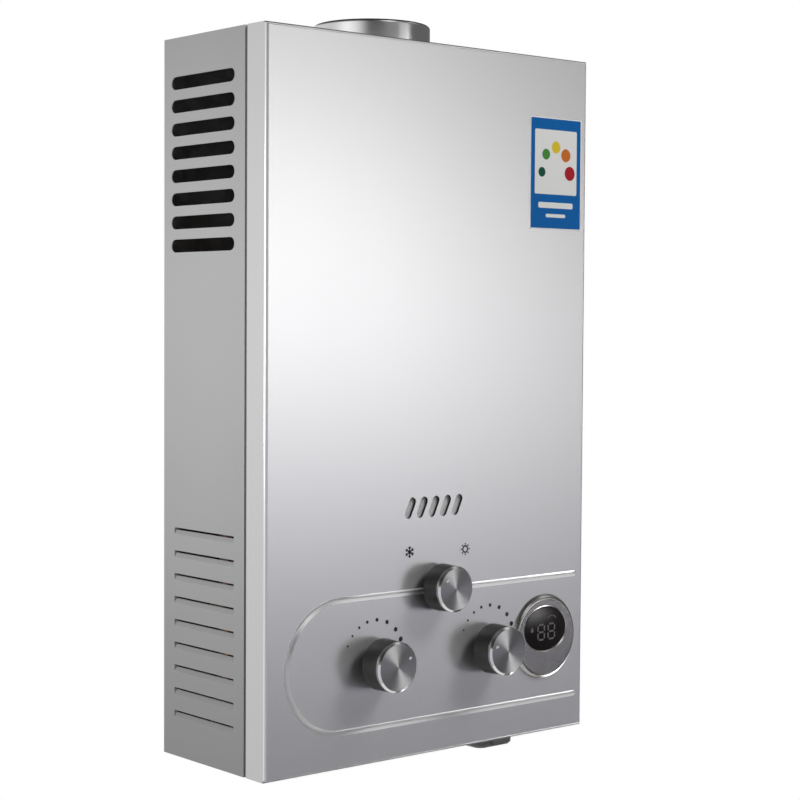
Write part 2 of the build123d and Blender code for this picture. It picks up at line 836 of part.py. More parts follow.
with BuildPart() as season_valve:
    season_front = manifold_y - season_valve_depth / 2
    slab(
        (season_knob_x - season_valve_half_width, season_front, season_z - season_valve_drop),
        (season_knob_x + season_valve_half_width, season_front + season_valve_depth, manifold_base),
    )
    chamfer(season_valve.faces().sort_by(Axis.Z)[0].edges(), length=valve_edge / 2)
    season_mouth = (season_knob_x, season_front, season_z)
    season_seat_end = (season_knob_x, season_front + spindle_in_valve, season_z)
    rod(season_mouth, season_seat_end, spindle_radius + running_gap, Mode.SUBTRACT)
save(season_valve.part, "season_valve")


# Water valve: casting, diaphragm, cover and drain leg
def eight_sided(x):
    """An eight-sided flange outline across the push rod's axis."""
    with BuildSketch(Plane.YZ.offset(x)) as outline:
        with Locations((rod_y, knob_z)):
            RegularPolygon(diaphragm_flat / 2, 8, major_radius=False, rotation=180 / 8)
    return outline.sketch


with BuildPart() as water_valve_body:
    slab((water_left, valve_front, valve_base), (water_right, valve_back, valve_top))
    chamfer(water_valve_body.edges().filter_by(Axis.X), length=valve_edge)
    extrude(eight_sided(diaphragm_right), amount=diaphragm_seat)
    arm_top = valve_base + valve_edge + drain_arm_height
    leg_bottom = floor + drain_leg_bottom
    slab(
        (water_knob_x - drain_leg_radius, valve_back, valve_base + valve_edge),
        (water_knob_x + drain_leg_radius, drain_y, arm_top),
    )
    leg_start = (water_knob_x, drain_y, leg_bottom)
    bar(leg_start, (water_knob_x, drain_y, arm_top), drain_leg_radius, hidden_flat_count)
    drain_top = leg_bottom + drain_stem_length
    drain_end = (water_knob_x, drain_y, drain_top)
    rod(leg_start, drain_end, drain_stem_radius + running_gap, Mode.SUBTRACT)
    water_mouth = (water_knob_x, valve_front, knob_z)
    water_seat_end = (water_knob_x, valve_front + spindle_in_valve, knob_z)
    rod(water_mouth, water_seat_end, spindle_radius + running_gap, Mode.SUBTRACT)
save(water_valve_body.part, "water_valve_body")

with BuildPart() as diaphragm:
    extrude(eight_sided(diaphragm_left), amount=diaphragm_thickness)
save(diaphragm.part, "diaphragm")

with BuildPart() as water_valve_cover:
    extrude(eight_sided(water_cover_left), amount=water_cover_thickness)
    cavity_x = diaphragm_left - water_cavity_depth
    cavity = (cavity_x, rod_y, knob_z), (diaphragm_left, rod_y, knob_z)
    bar(*cavity, water_cavity_radius, hidden_flat_count, Mode.SUBTRACT)
    neck_start = (water_neck_left, rod_y, knob_z)
    bar(neck_start, (water_cover_left, rod_y, knob_z), water_neck_radius, hidden_flat_count)
    rod(neck_start, (cavity_x, rod_y, knob_z), rod_radius + running_gap, Mode.SUBTRACT)
save(water_valve_cover.part, "water_valve_cover")

# Push rod with its plate and the collar that trips the micro switch, and the gas poppet on its end
poppet_right = gas_seat - slip_gap
poppet_left = poppet_right - poppet_thickness
collar_x = switch_pivot_x + lever_thickness / 2 + slip_gap
plate_right = diaphragm_left - slip_gap
with BuildPart() as push_rod:
    rod((poppet_left - rod_tail, rod_y, knob_z), (plate_right, rod_y, knob_z), rod_radius)
    plate = (plate_right - push_plate_thickness, rod_y, knob_z), (plate_right, rod_y, knob_z)
    bar(*plate, push_plate_radius, hidden_flat_count)
    collar_end = (collar_x + collar_thickness, rod_y, knob_z)
    bar((collar_x, rod_y, knob_z), collar_end, collar_radius, hidden_flat_count)
save(push_rod.part, "push_rod")

with BuildPart() as gas_poppet:
    poppet_ends = (poppet_left, rod_y, knob_z), (poppet_right, rod_y, knob_z)
    bar(*poppet_ends, poppet_radius, hidden_flat_count)
    bar(*poppet_ends, rod_radius + seat_gap, hidden_flat_count, Mode.SUBTRACT)
save(gas_poppet.part, "gas_poppet")

# Micro switch on a foot from the gas valve, and the lever that the rod's collar pushes
ear_y = switch_width / 2 + ear_thickness
with BuildPart() as micro_switch:
    switch_base = switch_pivot_z + pivot_to_body
    switch_right = switch_pivot_x + switch_length / 4
    slab(
        (switch_right - switch_length, rod_y - switch_width / 2, switch_base),
        (switch_right, rod_y + switch_width / 2, switch_base + switch_body_height),
    )
    slab(
        (gas_right, rod_y - switch_width / 2, switch_base),
        (switch_right - switch_length, rod_y + switch_width / 2, switch_base + switch_foot),
    )
    for side in (-1, 1):
        slab(
            (switch_pivot_x - ear_reach, rod_y + side * switch_width / 2, switch_pivot_z - ear_reach),
            (switch_pivot_x + ear_reach, rod_y + side * ear_y, switch_base + ear_reach),
        )
    pivot = (switch_pivot_x, rod_y - ear_y, switch_pivot_z), (switch_pivot_x, rod_y + ear_y, switch_pivot_z)
    rod(*pivot, pivot_radius + running_gap, Mode.SUBTRACT)
save(micro_switch.part, "micro_switch")

with BuildPart() as switch_lever:
    rod(*pivot, pivot_radius)
    lever_tip = knob_z + collar_radius - lever_overlap
    slab(
        (switch_pivot_x - lever_thickness / 2, rod_y - lever_width / 2, lever_tip),
        (switch_pivot_x + lever_thickness / 2, rod_y + lever_width / 2, switch_pivot_z + pivot_radius / 2),
    )
save(switch_lever.part, "switch_lever")


# Water pipes between the valves, the exchanger and the unions
cold_y = tube_ys[0]
cold_run_z = valve_top + riser_up
cold_route = [
    (water_knob_x, cold_y, valve_top),
    (water_knob_x, cold_y, cold_run_z),
    (pipe_x, cold_y, cold_run_z),
    (pipe_x, cold_y, tube_z),
    (tube_end_x, cold_y, tube_z),
]
save(pipe(cold_route, pipe_bend), "cold_riser")
hot_route = [(-tube_end_x, hot_y, tube_z), (-pipe_x, hot_y, tube_z), (-pipe_x, hot_y, valve_base)]
save(pipe(hot_route, pipe_bend), "hot_pipe")

with BuildPart() as pipe_unions:
    for x, y in union_places:
        rod((x, y, bottom - thread_length), (x, y, floor), thread_radius)
        with BuildSketch(Plane.XY.offset(floor)):
            with Locations((x, y)):
                RegularPolygon(union_hex_radius, hex_flat_count)
        extrude(amount=valve_base - floor)
        bore_bottom = (x, y, bottom - thread_length)
        bore_top = (x, y, bottom - thread_length + union_bore_depth)
        bar(bore_bottom, bore_top, union_bore_radius, hidden_flat_count, Mode.SUBTRACT)
save(pipe_unions.part, "pipe_unions")

with BuildPart() as drain_plug:
    knob_top = leg_bottom - slip_gap
    with BuildSketch(Plane.XY.offset(knob_top - drain_knob_height)):
        with Locations((water_knob_x, drain_y)):
            RegularPolygon(drain_knob_radius, drain_knob_sides)
    extrude(amount=drain_knob_height)
    stem_top = drain_top - slip_gap
    rod((water_knob_x, drain_y, knob_top), (water_knob_x, drain_y, stem_top), drain_stem_radius)
save(drain_plug.part, "drain_plug")

with BuildPart() as outlet_sensor:
    sensor_z = bottom + sensor_height
    half_sensor = sensor_size / 2
    slab(
        (-pipe_x - half_sensor, hot_y - half_sensor, sensor_z),
        (-pipe_x + half_sensor, hot_y + half_sensor, sensor_z + sensor_thickness),
    )
    clip_bore = (-pipe_x, hot_y, sensor_z), (-pipe_x, hot_y, sensor_z + sensor_thickness)
    bar(*clip_bore, tube_radius + seat_gap, pipe_flat_count, Mode.SUBTRACT)
save(outlet_sensor.part, "outlet_sensor")

with BuildPart() as overheat_switch:
    switch_face = stack_front - thermostat_depth
    thermostat_ends = (thermostat_x, switch_face, tube_z), (thermostat_x, stack_front, tube_z)
    bar(*thermostat_ends, thermostat_radius, hidden_flat_count)
    for side in (-1, 1):
        terminal_x = thermostat_x + side * terminal_spacing / 2
        slab(
            (terminal_x - sheet / 2, switch_face - terminal_length, tube_z - terminal_width / 2),
            (terminal_x + sheet / 2, switch_face, tube_z + terminal_width / 2),
        )
save(overheat_switch.part, "overheat_switch")

# Igniter box on the back panel, below the level of the burner tray
with BuildPart() as igniter_box:
    igniter_x = inner_x - igniter_clearance - igniter_width / 2
    igniter_z = tray_base - igniter_headroom - igniter_post_length - igniter_height / 2
    with BuildSketch(upright(back_inside)):
        with Locations((igniter_x, igniter_z)):
            Rectangle(igniter_width, igniter_height)
    extrude(amount=igniter_depth)
    chamfer(igniter_box.edges().filter_by(Axis.Y), length=igniter_edge)
    igniter_top = igniter_z + igniter_height / 2
    for side in (-1, 1):
        post = (igniter_x + side * igniter_post_spacing / 2, back_inside - igniter_depth / 2)
        post_end = (*post, igniter_top + igniter_post_length)
        bar((*post, igniter_top), post_end, igniter_post_width / 2, hex_flat_count)
save(igniter_box.part, "igniter_box")


# Knobs, their aluminium caps and their spindles
def knob(x, z, back_radius, face_radius, gap, reach):
    """A slightly tapered knob body that takes the spindle from behind."""
    length = reach - gap - cap_thickness
    with BuildPart() as body:
        with BuildSketch(upright(front - gap)):
            with Locations((x, z)):
                RegularPolygon(back_radius, rim_flat_count)
        extrude(amount=length, taper=degrees(atan((back_radius - face_radius) / length)))
        bore = (x, front - gap, z), (x, front - gap - spindle_in_knob, z)
        bar(*bore, spindle_radius + seat_gap, hidden_flat_count, Mode.SUBTRACT)
    return body.part


def knob_cap(x, z, face_radius, reach, dimple_angle, orbit):
    """A chamfered disc with a pointer dimple near its edge."""
    with BuildPart() as cap:
        with BuildSketch(upright(front - reach + cap_thickness)):
            with Locations((x, z)):
                RegularPolygon(face_radius, rim_flat_count)
        extrude(amount=cap_thickness)
        chamfer(cap.faces().sort_by(Axis.Y)[0].edges(), length=cap_chamfer)
        with BuildSketch(upright(front - reach)):
            with Locations((x, z)):
                with PolarLocations(orbit, 1, start_angle=dimple_angle):
                    RegularPolygon(dimple_radius, hidden_flat_count)
        extrude(amount=-dimple_depth, mode=Mode.SUBTRACT)
    return cap.part


def spindle(x, z, valve_face, gap):
    """A round spindle from the valve's bore into the knob."""
    with BuildPart() as shaft:
        inner_end = valve_face + spindle_in_valve - slip_gap
        outer_end = front - gap - spindle_in_knob + slip_gap
        rod((x, inner_end, z), (x, outer_end, z), spindle_radius)
    return shaft.part


for name, x, angle in (("gas", gas_knob_x, gas_dimple_angle), ("water", water_knob_x, water_dimple_angle)):
    save(knob(x, knob_z, knob_back_radius, knob_face_radius, knob_gap, knob_reach), f"{name}_knob")
    save(knob_cap(x, knob_z, knob_face_radius, knob_reach, angle, knob_dimple_orbit), f"{name}_knob_cap")
    save(spindle(x, knob_z, valve_front, knob_gap), f"{name}_spindle")
season_place = (season_knob_x, season_z)
save(knob(*season_place, season_back_radius, season_face_radius, season_gap, season_reach), "season_knob")
season_dimple = (season_dimple_angle, season_dimple_orbit)
season_cap = knob_cap(*season_place, season_face_radius, season_reach, *season_dimple)
save(season_cap, "season_knob_cap")
save(spindle(*season_place, season_front, season_gap), "season_spindle")

# Display: bezel with a neck through the cover, lens and board
lens_place = (display_x + lens_offset_x, display_z + lens_offset_z)
bezel_face = front - bezel_proud
with BuildPart() as display_bezel:
    with BuildSketch(upright(front)):
        with Locations((display_x, display_z)):
            RegularPolygon(bezel_radius, rim_flat_count)
    extrude(amount=bezel_proud)
    chamfer(display_bezel.faces().sort_by(Axis.Y)[0].edges(), length=bezel_chamfer)
    neck_end = front + bezel_neck_length
    neck = (display_x, front, display_z), (display_x, neck_end, display_z)
    bar(*neck, bezel_neck_radius, hidden_flat_count)
    with BuildSketch(upright(bezel_face)):
        with Locations(lens_place):
            Polygon(*oval(lens_half_width, lens_half_height))
    extrude(amount=-bezel_proud - bezel_neck_length, mode=Mode.SUBTRACT)
save(display_bezel.part, "display_bezel")

lens_back = bezel_face + lens_recess + lens_thickness
with BuildPart() as display_lens:
    with BuildSketch(upright(lens_back)):
        with Locations(lens_place):
            Polygon(*oval(lens_half_width - seat_gap, lens_half_height - seat_gap))
    extrude(amount=lens_thickness)
save(display_lens.part, "display_lens")

with BuildPart() as display_board:
    board_y = lens_back + digit_block_depth
    slab(
        (lens_place[0] - digit_block_width / 2, lens_back, lens_place[1] - digit_block_height / 2),
        (lens_place[0] + digit_block_width / 2, board_y, lens_place[1] + digit_block_height / 2),
    )
    slab(
        (lens_place[0] - board_width / 2, board_y, lens_place[1] - board_height / 2),
        (lens_place[0] + board_width / 2, board_y + board_thickness, lens_place[1] + board_height / 2),
    )
save(display_board.part, "display_board")


# Battery box under the floor, with two cells, contacts and a lid on a pin
def box_outline(z, grow):
    """The battery box's rounded outline at a height, grown or shrunk all round."""
    with BuildSketch(Plane.XY.offset(z)) as outline:
        with Locations((battery_x, box_y)):
            RectangleRounded(
                battery_box_width + 2 * grow, battery_box_depth + 2 * grow, battery_box_corner + grow
            )
    return outline.sketch


lug_outer = battery_box_width / 2 - battery_box_corner - lug_inset
lug_inner = lug_outer - lug_width
with BuildPart() as battery_box:
    extrude(box_outline(box_bottom, 0), amount=box_ceiling + battery_wall - box_bottom)
    flange = (battery_box_width / 2 + box_flange, battery_box_depth / 2 + box_flange)
    slab(
        (battery_x - flange[0], box_y - flange[1], floor),
        (battery_x + flange[0], box_y + flange[1], floor + box_flange_thickness),
    )
    extrude(box_outline(box_bottom, -battery_wall), amount=box_ceiling - box_bottom, mode=Mode.SUBTRACT)
    for side in (-1, 1):
        near, far = battery_x + side * lug_inner, battery_x + side * lug_outer
        slab((near, box_back, hinge_z), (far, hinge_y, bottom - slip_gap))
        bar((near, hinge_y, hinge_z), (far, hinge_y, hinge_z), lug_radius, hidden_flat_count)
        slab((near, box_back, hinge_z - lug_radius), (far, hinge_y, box_bottom), mode=Mode.SUBTRACT)
        rod((near, hinge_y, hinge_z), (far, hinge_y, hinge_z), lid_pin_radius + running_gap, Mode.SUBTRACT)
save(battery_box.part, "battery_box")

with BuildPart() as lid_pin:
    pin_end = (battery_x + lug_outer, hinge_y, hinge_z)
    rod((battery_x - lug_outer, hinge_y, hinge_z), pin_end, lid_pin_radius)
save(lid_pin.part, "lid_pin")

lid_top = box_bottom - lid_gap
with BuildPart() as battery_lid:
    extrude(box_outline(lid_top - lid_thickness, 0), amount=lid_thickness)
    chamfer(battery_lid.faces().sort_by(Axis.Z)[0].edges(), length=lid_edge)
    knuckle = lug_inner - slip_gap
    slab(
        (battery_x - knuckle, box_back - battery_wall, lid_top - lid_thickness),
        (battery_x + knuckle, hinge_y, lid_top),
    )
    rod((battery_x - knuckle, hinge_y, hinge_z), (battery_x + knuckle, hinge_y, hinge_z), lid_thickness / 2)
    bore = (battery_x - knuckle, hinge_y, hinge_z), (battery_x + knuckle, hinge_y, hinge_z)
    rod(*bore, lid_pin_radius + running_gap, Mode.SUBTRACT)
    latch_back = box_front - slip_gap
    slab(
        (battery_x - latch_width / 2, latch_back - latch_thickness, lid_top - lid_thickness + lid_edge),
        (battery_x + latch_width / 2, latch_back, lid_top + latch_height),
    )
    slab(
        (battery_x - latch_width / 2, latch_back, lid_top - lid_thickness + lid_edge),
        (battery_x + latch_width / 2, box_front + battery_wall, lid_top),
    )
save(battery_lid.part, "battery_lid")

with BuildPart() as lid_contact:
    slab(
        (battery_x - contact_width / 2, box_y - lid_leaf_length / 2, lid_top),
        (battery_x + contact_width / 2, box_y + lid_leaf_length / 2, lid_top + contact_thickness),
    )
save(lid_contact.part, "lid_contact")

cell_ys = [box_y - cell_radius - slip_gap, box_y + cell_radius + slip_gap]
with BuildPart() as battery_cells:
    for y in cell_ys:
        bar((battery_x, y, cell_bottom), (battery_x, y, cell_top), cell_radius, 2 * hidden_flat_count)
save(battery_cells.part, "battery_cells")

with BuildPart() as battery_contacts:
    for y in cell_ys:
        slab(
            (battery_x - contact_width / 2, y - contact_width / 2, cell_top),
            (battery_x + contact_width / 2, y + contact_width / 2, box_ceiling),
        )
save(battery_contacts.part, "battery_contacts")
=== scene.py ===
"""Finer pieces, finishes, studio and camera of the wall-hung gas water heater, in metres."""

import json
from math import cos, pi, radians, sin

import bmesh
import bpy
from mathutils import Matrix, Vector


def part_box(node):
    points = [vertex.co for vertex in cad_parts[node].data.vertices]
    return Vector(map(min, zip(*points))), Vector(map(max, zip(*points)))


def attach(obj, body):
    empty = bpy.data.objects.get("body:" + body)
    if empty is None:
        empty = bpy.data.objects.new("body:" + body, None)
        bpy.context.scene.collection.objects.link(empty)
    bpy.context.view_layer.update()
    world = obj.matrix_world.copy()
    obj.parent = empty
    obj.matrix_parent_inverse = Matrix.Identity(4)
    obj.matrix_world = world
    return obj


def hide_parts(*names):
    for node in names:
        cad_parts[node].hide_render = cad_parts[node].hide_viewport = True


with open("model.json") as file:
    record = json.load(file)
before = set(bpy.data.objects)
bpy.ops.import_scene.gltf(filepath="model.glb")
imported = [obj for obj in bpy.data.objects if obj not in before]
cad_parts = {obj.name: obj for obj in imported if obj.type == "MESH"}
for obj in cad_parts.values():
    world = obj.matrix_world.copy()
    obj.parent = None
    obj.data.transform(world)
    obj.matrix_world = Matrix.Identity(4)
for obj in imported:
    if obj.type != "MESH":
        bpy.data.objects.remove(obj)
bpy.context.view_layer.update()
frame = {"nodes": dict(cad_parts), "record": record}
mm = 0.001
micron = 0.000001
cover_low, cover_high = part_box("front_cover")
screen_low, screen_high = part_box("sight_screen")
front_y = cover_low.y
to_front = Matrix.Rotation(pi / 2, 4, "X")


# Node trees


class Graph:
    """Adds nodes to one tree and joins them."""

    def __init__(self, tree):
        self.tree = tree

    def add(self, kind, values=None, **settings):
        node = self.tree.nodes.new(kind)
        for key, value in settings.items():
            setattr(node, key, value)
        for key, value in (values or {}).items():
            self.put(node.inputs[key], value)
        return node

    def put(self, socket, value):
        if isinstance(value, bpy.types.NodeSocket):
            self.tree.links.new(value, socket)
        else:
            socket.default_value = value

    def math(self, operation, *values):
        return self.add("ShaderNodeMath", dict(enumerate(values)), operation=operation).outputs[0]

    def vector(self, operation, *values, result="Vector"):
        node = self.add("ShaderNodeVectorMath", dict(enumerate(values)), operation=operation)
        return node.outputs[result]

    def split(self, vector):
        return self.add("ShaderNodeSeparateXYZ", {0: vector}).outputs

    def noise(self, position, scale, detail=2.0, roughness=0.5):
        values = {"Vector": position, "Scale": scale, "Detail": detail, "Roughness": roughness}
        return self.add("ShaderNodeTexNoise", values).outputs["Fac"]

    def between(self, value, low, high, start=0.0, end=1.0):
        values = {"Value": value, "From Min": start, "From Max": end, "To Min": low, "To Max": high}
        return self.add("ShaderNodeMapRange", values).outputs["Result"]

    def wander(self, noise, middle, spread, cut=0.3):
        """A value that follows a noise round its middle, with the noise's ends cut off."""
        return self.between(noise, middle - spread, middle + spread, cut, 1.0 - cut)

    def bell(self, squared):
        """One in the middle, fading out with the squared distance from it."""
        return self.math("EXPONENT", self.math("MULTIPLY", squared, -1.0))

    def blend(self, factor, first, second):
        values = {0: factor, 6: first, 7: second}
        return self.add("ShaderNodeMix", values, data_type="RGBA").outputs[2]

    def bump(self, height, distance, strength):
        values = {"Height": height, "Distance": distance, "Strength": strength}
        return self.add("ShaderNodeBump", values).outputs["Normal"]

    def effect(self, tree, position, **values):
        return self.add("ShaderNodeGroup", {"Position": position, **values}, node_tree=tree).outputs


def shared_effect(name, inputs, outputs):
    """An empty node group with its sockets, its graph and its two end nodes."""
    tree = bpy.data.node_groups.new(name, "ShaderNodeTree")
    for label, kind in inputs.items():
        tree.interface.new_socket(label, in_out="INPUT", socket_type=f"NodeSocket{kind}")
    for label in outputs:
        tree.interface.new_socket(label, in_out="OUTPUT", socket_type="NodeSocketFloat")
    graph = Graph(tree)
    return tree, graph, graph.add("NodeGroupInput").outputs, graph.add("NodeGroupOutput").inputs


def make_brush_lines():
    """Hairlines left by a brush: noise pulled out along the brushing direction."""
    sockets = {"Position": "Vector", "Stretch": "Vector"}
    tree, graph, given, result = shared_effect("brush_lines", sockets, ["Line", "Cloud"])
    pulled = graph.vector("MULTIPLY", given["Position"], given["Stretch"])
    graph.put(result["Line"], graph.noise(pulled, scale=1.0, detail=3.0, roughness=0.65))
    graph.put(result["Cloud"], graph.noise(given["Position"], scale=7.0, detail=3.0, roughness=0.55))
    return tree


def make_fine_grain():
    """Fine skin of a sprayed or moulded surface, with a broad soft change of tone."""
    sockets = {"Position": "Vector", "Scale": "Float"}
    tree, graph, given, result = shared_effect("fine_grain", sockets, ["Grain", "Tone"])
    graph.put(result["Grain"], graph.noise(given["Position"], given["Scale"], detail=2.0, roughness=0.6))
    graph.put(result["Tone"], graph.noise(given["Position"], scale=11.0, detail=4.0, roughness=0.6))
    return tree


def make_turned_rings():
    """Rings left by a turning tool round an axis that points to the front."""
    sockets = {"Position": "Vector", "Centre": "Vector"}
    tree, graph, given, result = shared_effect("turned_rings", sockets, ["Ring"])
    offset = graph.vector("SUBTRACT", given["Position"], given["Centre"])
    away = graph.vector("MULTIPLY", offset, (1.0, 0.0, 1.0))
    reach = graph.vector("LENGTH", away, result="Value")
    values = {"W": reach, "Scale": 2600.0, "Detail": 2.0}
    rings = graph.add("ShaderNodeTexNoise", values, noise_dimensions="1D")
    graph.put(result["Ring"], rings.outputs["Fac"])
    return tree


def make_screw_thread():
    """Rounded crests of a thread along Z."""
    sockets = {"Position": "Vector", "Pitch": "Float"}
    tree, graph, given, result = shared_effect("screw_thread", sockets, ["Height"])
    turns = graph.math("DIVIDE", graph.split(given["Position"])["Z"], given["Pitch"])
    wave = graph.math("SINE", graph.math("MULTIPLY", turns, 2 * pi))
    graph.put(result["Height"], graph.math("MULTIPLY_ADD", wave, 0.5, 0.5))
    return tree


def make_wire_weave():
    """Crossed wires with open squares between them, in the plane of the front."""
    sockets = {"Position": "Vector", "Pitch": "Float"}
    tree, graph, given, result = shared_effect("wire_weave", sockets, ["Wire", "Height"])
    slant = {"Vector": given["Position"], "Angle": radians(38)}
    turned = graph.add("ShaderNodeVectorRotate", slant, rotation_type="Y_AXIS").outputs["Vector"]
    place = graph.split(turned)
    ridges = []
    for side in ("X", "Z"):
        turns = graph.math("DIVIDE", place[side], given["Pitch"])
        wave = graph.math("SINE", graph.math("MULTIPLY", turns, pi))
        ridges.append(graph.math("ABSOLUTE", wave))
    crest = graph.math("MAXIMUM", *ridges)
    graph.put(result["Height"], crest)
    graph.put(result["Wire"], graph.between(crest, 0.0, 1.0, start=0.72, end=0.86))
    return tree


def make_print_speckle():
    """The fine unevenness of a printed film."""
    sockets = {"Position": "Vector", "Scale": "Float"}
    tree, graph, given, result = shared_effect("print_speckle", sockets, ["Speckle"])
    graph.put(result["Speckle"], graph.noise(given["Position"], given["Scale"]))
    return tree


def make_box_mask():
    """One inside a box given by its middle and half its size, nought outside it."""
    sockets = {"Position": "Vector", "Middle": "Vector", "Half": "Vector"}
    tree, graph, given, result = shared_effect("box_mask", sockets, ["Inside"])
    place, middle, half = [graph.split(given[label]) for label in sockets]
    near = [graph.math("COMPARE", place[side], middle[side], half[side]) for side in "XYZ"]
    inside = graph.math("MULTIPLY", graph.math("MULTIPLY", near[0], near[1]), near[2])
    graph.put(result["Inside"], inside)
    return tree


brush_lines = make_brush_lines()
fine_grain = make_fine_grain()
turned_rings = make_turned_rings()
screw_thread = make_screw_thread()
wire_weave = make_wire_weave()
print_speckle = make_print_speckle()
box_mask = make_box_mask()


# Kinds of finish


def tone(red, green, blue):
    return (red, green, blue, 1.0)


def grey(level):
    return tone(level, level, level)


def start_finish(name, **values):
    """A material with one shader, its graph and the piece's own coordinates."""
    material = bpy.data.materials.new(name)
    material.use_nodes = True
    graph = Graph(material.node_tree)
    shader = material.node_tree.nodes["Principled BSDF"]
    for key, value in values.items():
        shader.inputs[key.replace("_", " ")].default_value = value
    position = graph.add("ShaderNodeTexCoord").outputs["Object"]
    return material, graph, shader.inputs, position


def inside_box(graph, position, low, high):
    """The mask of a box given by two corners."""
    middle = [(start + end) / 2 for start, end in zip(low, high)]
    half = [(end - start) / 2 for start, end in zip(low, high)]
    return graph.effect(box_mask, position, Middle=middle, Half=half)["Inside"]


def brushed_metal(
    name, dark, pale, roughness, stretch, depth=6 * micron, spread=0.05, metallic=1.0, duller_and_shaded_boxes=()
):
    """Metal with hairlines in one direction and a faint cloudiness, duller inside some boxes and darkened
    with painted shade in those that give a tone.
    """
    material, graph, shader, position = start_finish(name, Metallic=metallic)
    lines = graph.effect(brush_lines, position, Stretch=stretch)
    colour = graph.blend(lines["Line"], dark, pale)
    half_line = graph.math("MULTIPLY", lines["Line"], 0.5)
    worn = graph.math("MULTIPLY_ADD", lines["Cloud"], 0.5, half_line)
    gloss = graph.wander(worn, roughness, spread)
    for low, high, shade_tone, added in duller_and_shaded_boxes:
        inside = inside_box(graph, position, low, high)
        # A box's tone is painted shade laid over the steel's own colour.
        if shade_tone:
            colour = graph.blend(inside, colour, shade_tone)
        gloss = graph.math("MULTIPLY_ADD", inside, added, gloss)
    graph.put(shader["Base Color"], colour)
    graph.put(shader["Roughness"], gloss)
    graph.put(shader["Normal"], graph.bump(lines["Line"], depth, 0.6))
    return material


def skinned(name, dark, pale, roughness, scale, depth, seam_shade_box=None, **values):
    """Paint, plastic or casting with a fine skin and a soft change of tone, darkened with painted shade
    inside one box.
    """
    material, graph, shader, position = start_finish(name, **values)
    grain = graph.effect(fine_grain, position, Scale=scale)
    colour = graph.blend(grain["Tone"], dark, pale)
    if seam_shade_box:
        # Grey laid inside the box is painted shade in the seam between cover and sides.
        colour = graph.blend(inside_box(graph, position, *seam_shade_box), colour, grey(0.2))
    graph.put(shader["Base Color"], colour)
    graph.put(shader["Roughness"], graph.wander(grain["Grain"], roughness, 0.06, cut=0.25))
    graph.put(shader["Normal"], graph.bump(grain["Grain"], depth, 0.5))
    return material


def spun_face(name, x, z):
    """The turned metal face of a knob, with rings round its own axis."""
    material, graph, shader, position = start_finish(
        name, Metallic=1.0, Anisotropic=0.97, Anisotropic_Rotation=0.25
    )
    ring = graph.effect(turned_rings, position, Centre=(x, 0.0, z))["Ring"]
    graph.put(shader["Base Color"], graph.blend(ring, grey(0.28), grey(0.35)))
    graph.put(shader["Roughness"], graph.wander(ring, 0.38, 0.02))
    tangent = graph.add("ShaderNodeTangent", direction_type="RADIAL", axis="Y").outputs[0]
    graph.put(shader["Tangent"], tangent)
    return material


def threaded_brass(name, pitch):
    """Brass whose outside carries a thread."""
    material, graph, shader, position = start_finish(name, Metallic=1.0)
    height = graph.effect(screw_thread, position, Pitch=pitch)["Height"]
    colour = graph.blend(height, tone(0.42, 0.30, 0.13), tone(0.72, 0.56, 0.29))
    graph.put(shader["Base Color"], colour)
    graph.put(shader["Roughness"], graph.between(height, 0.42, 0.26))
    graph.put(shader["Normal"], graph.bump(height, 0.8 * mm, 0.9))
    return material


def woven_screen(name, pitch):
    """Steel wire cloth over a dark space."""
    material, graph, shader, position = start_finish(name)
    cloth = graph.effect(wire_weave, position, Pitch=pitch)
    wire = cloth["Wire"]
    graph.put(shader["Base Color"], graph.blend(wire, grey(0.16), grey(0.92)))
    graph.put(shader["Metallic"], graph.between(wire, 0.0, 0.25))
    graph.put(shader["Roughness"], graph.between(wire, 0.9, 0.42))
    graph.put(shader["Normal"], graph.bump(cloth["Height"], 0.4 * mm, 0.8))
    return material


def galvanised_sheet(name):
    """Zinc coat with its frosty spangle."""
    material, graph, shader, position = start_finish(name, Metallic=0.9)
    spangle = graph.add("ShaderNodeTexVoronoi", {"Vector": position, "Scale": 90.0}, feature="F1")
    shade = graph.add("ShaderNodeSeparateColor", {0: spangle.outputs["Color"]}).outputs[0]
    graph.put(shader["Base Color"], graph.blend(shade, grey(0.38), grey(0.47)))
    graph.put(shader["Roughness"], graph.between(shade, 0.36, 0.52))
    return material


def cell_sleeve(name, band_start):
    """Dry cells: a dark sleeve with a metal-coloured band near one end."""
    material, graph, shader, position = start_finish(name, Roughness=0.35)
    band = graph.math("GREATER_THAN", graph.split(position)["Y"], band_start)
    colour = graph.blend(band, tone(0.03, 0.035, 0.05), tone(0.62, 0.42, 0.16))
    graph.put(shader["Base Color"], colour)
    graph.put(shader["Metallic"], graph.between(band, 0.1, 0.8))
    return material


def printed_board(name):
    """Green lacquered board with a hint of its tracks."""
    material, graph, shader, position = start_finish(name, Roughness=0.4)
    values = {
        "Vector": position,
        "Scale": 260.0,
        "Color1": tone(0.01, 0.10, 0.04),
        "Color2": tone(0.015, 0.13, 0.05),
        "Mortar": tone(0.05, 0.22, 0.09),
    }
    tracks = graph.add("ShaderNodeTexBrick", values)
    graph.put(shader["Base Color"], tracks.outputs["Color"])
    return material


def ink(name, red, green, blue, roughness=0.5):
    """Screen print: an even colour that is a little uneven in gloss."""
    material, graph, shader, position = start_finish(
        name, Base_Color=tone(red, green, blue), Specular_IOR_Level=0.12
    )
    speckle = graph.effect(print_speckle, position, Scale=1800.0)["Speckle"]
    graph.put(shader["Roughness"], graph.wander(speckle, roughness, 0.1))
    return material


# Places on the front, and boxes in which its sheets are duller, some of them darkened with painted shade


def middle_of(node):
    """The middle of a node seen from the front."""
    low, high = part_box(node)
    return (low.x + high.x) / 2, (low.z + high.z) / 2


gas_place = middle_of("gas_knob_cap")
water_place = middle_of("water_knob_cap")
season_place = middle_of("season_knob_cap")
bezel_place = middle_of("display_bezel")
lens_place = middle_of("display_lens")

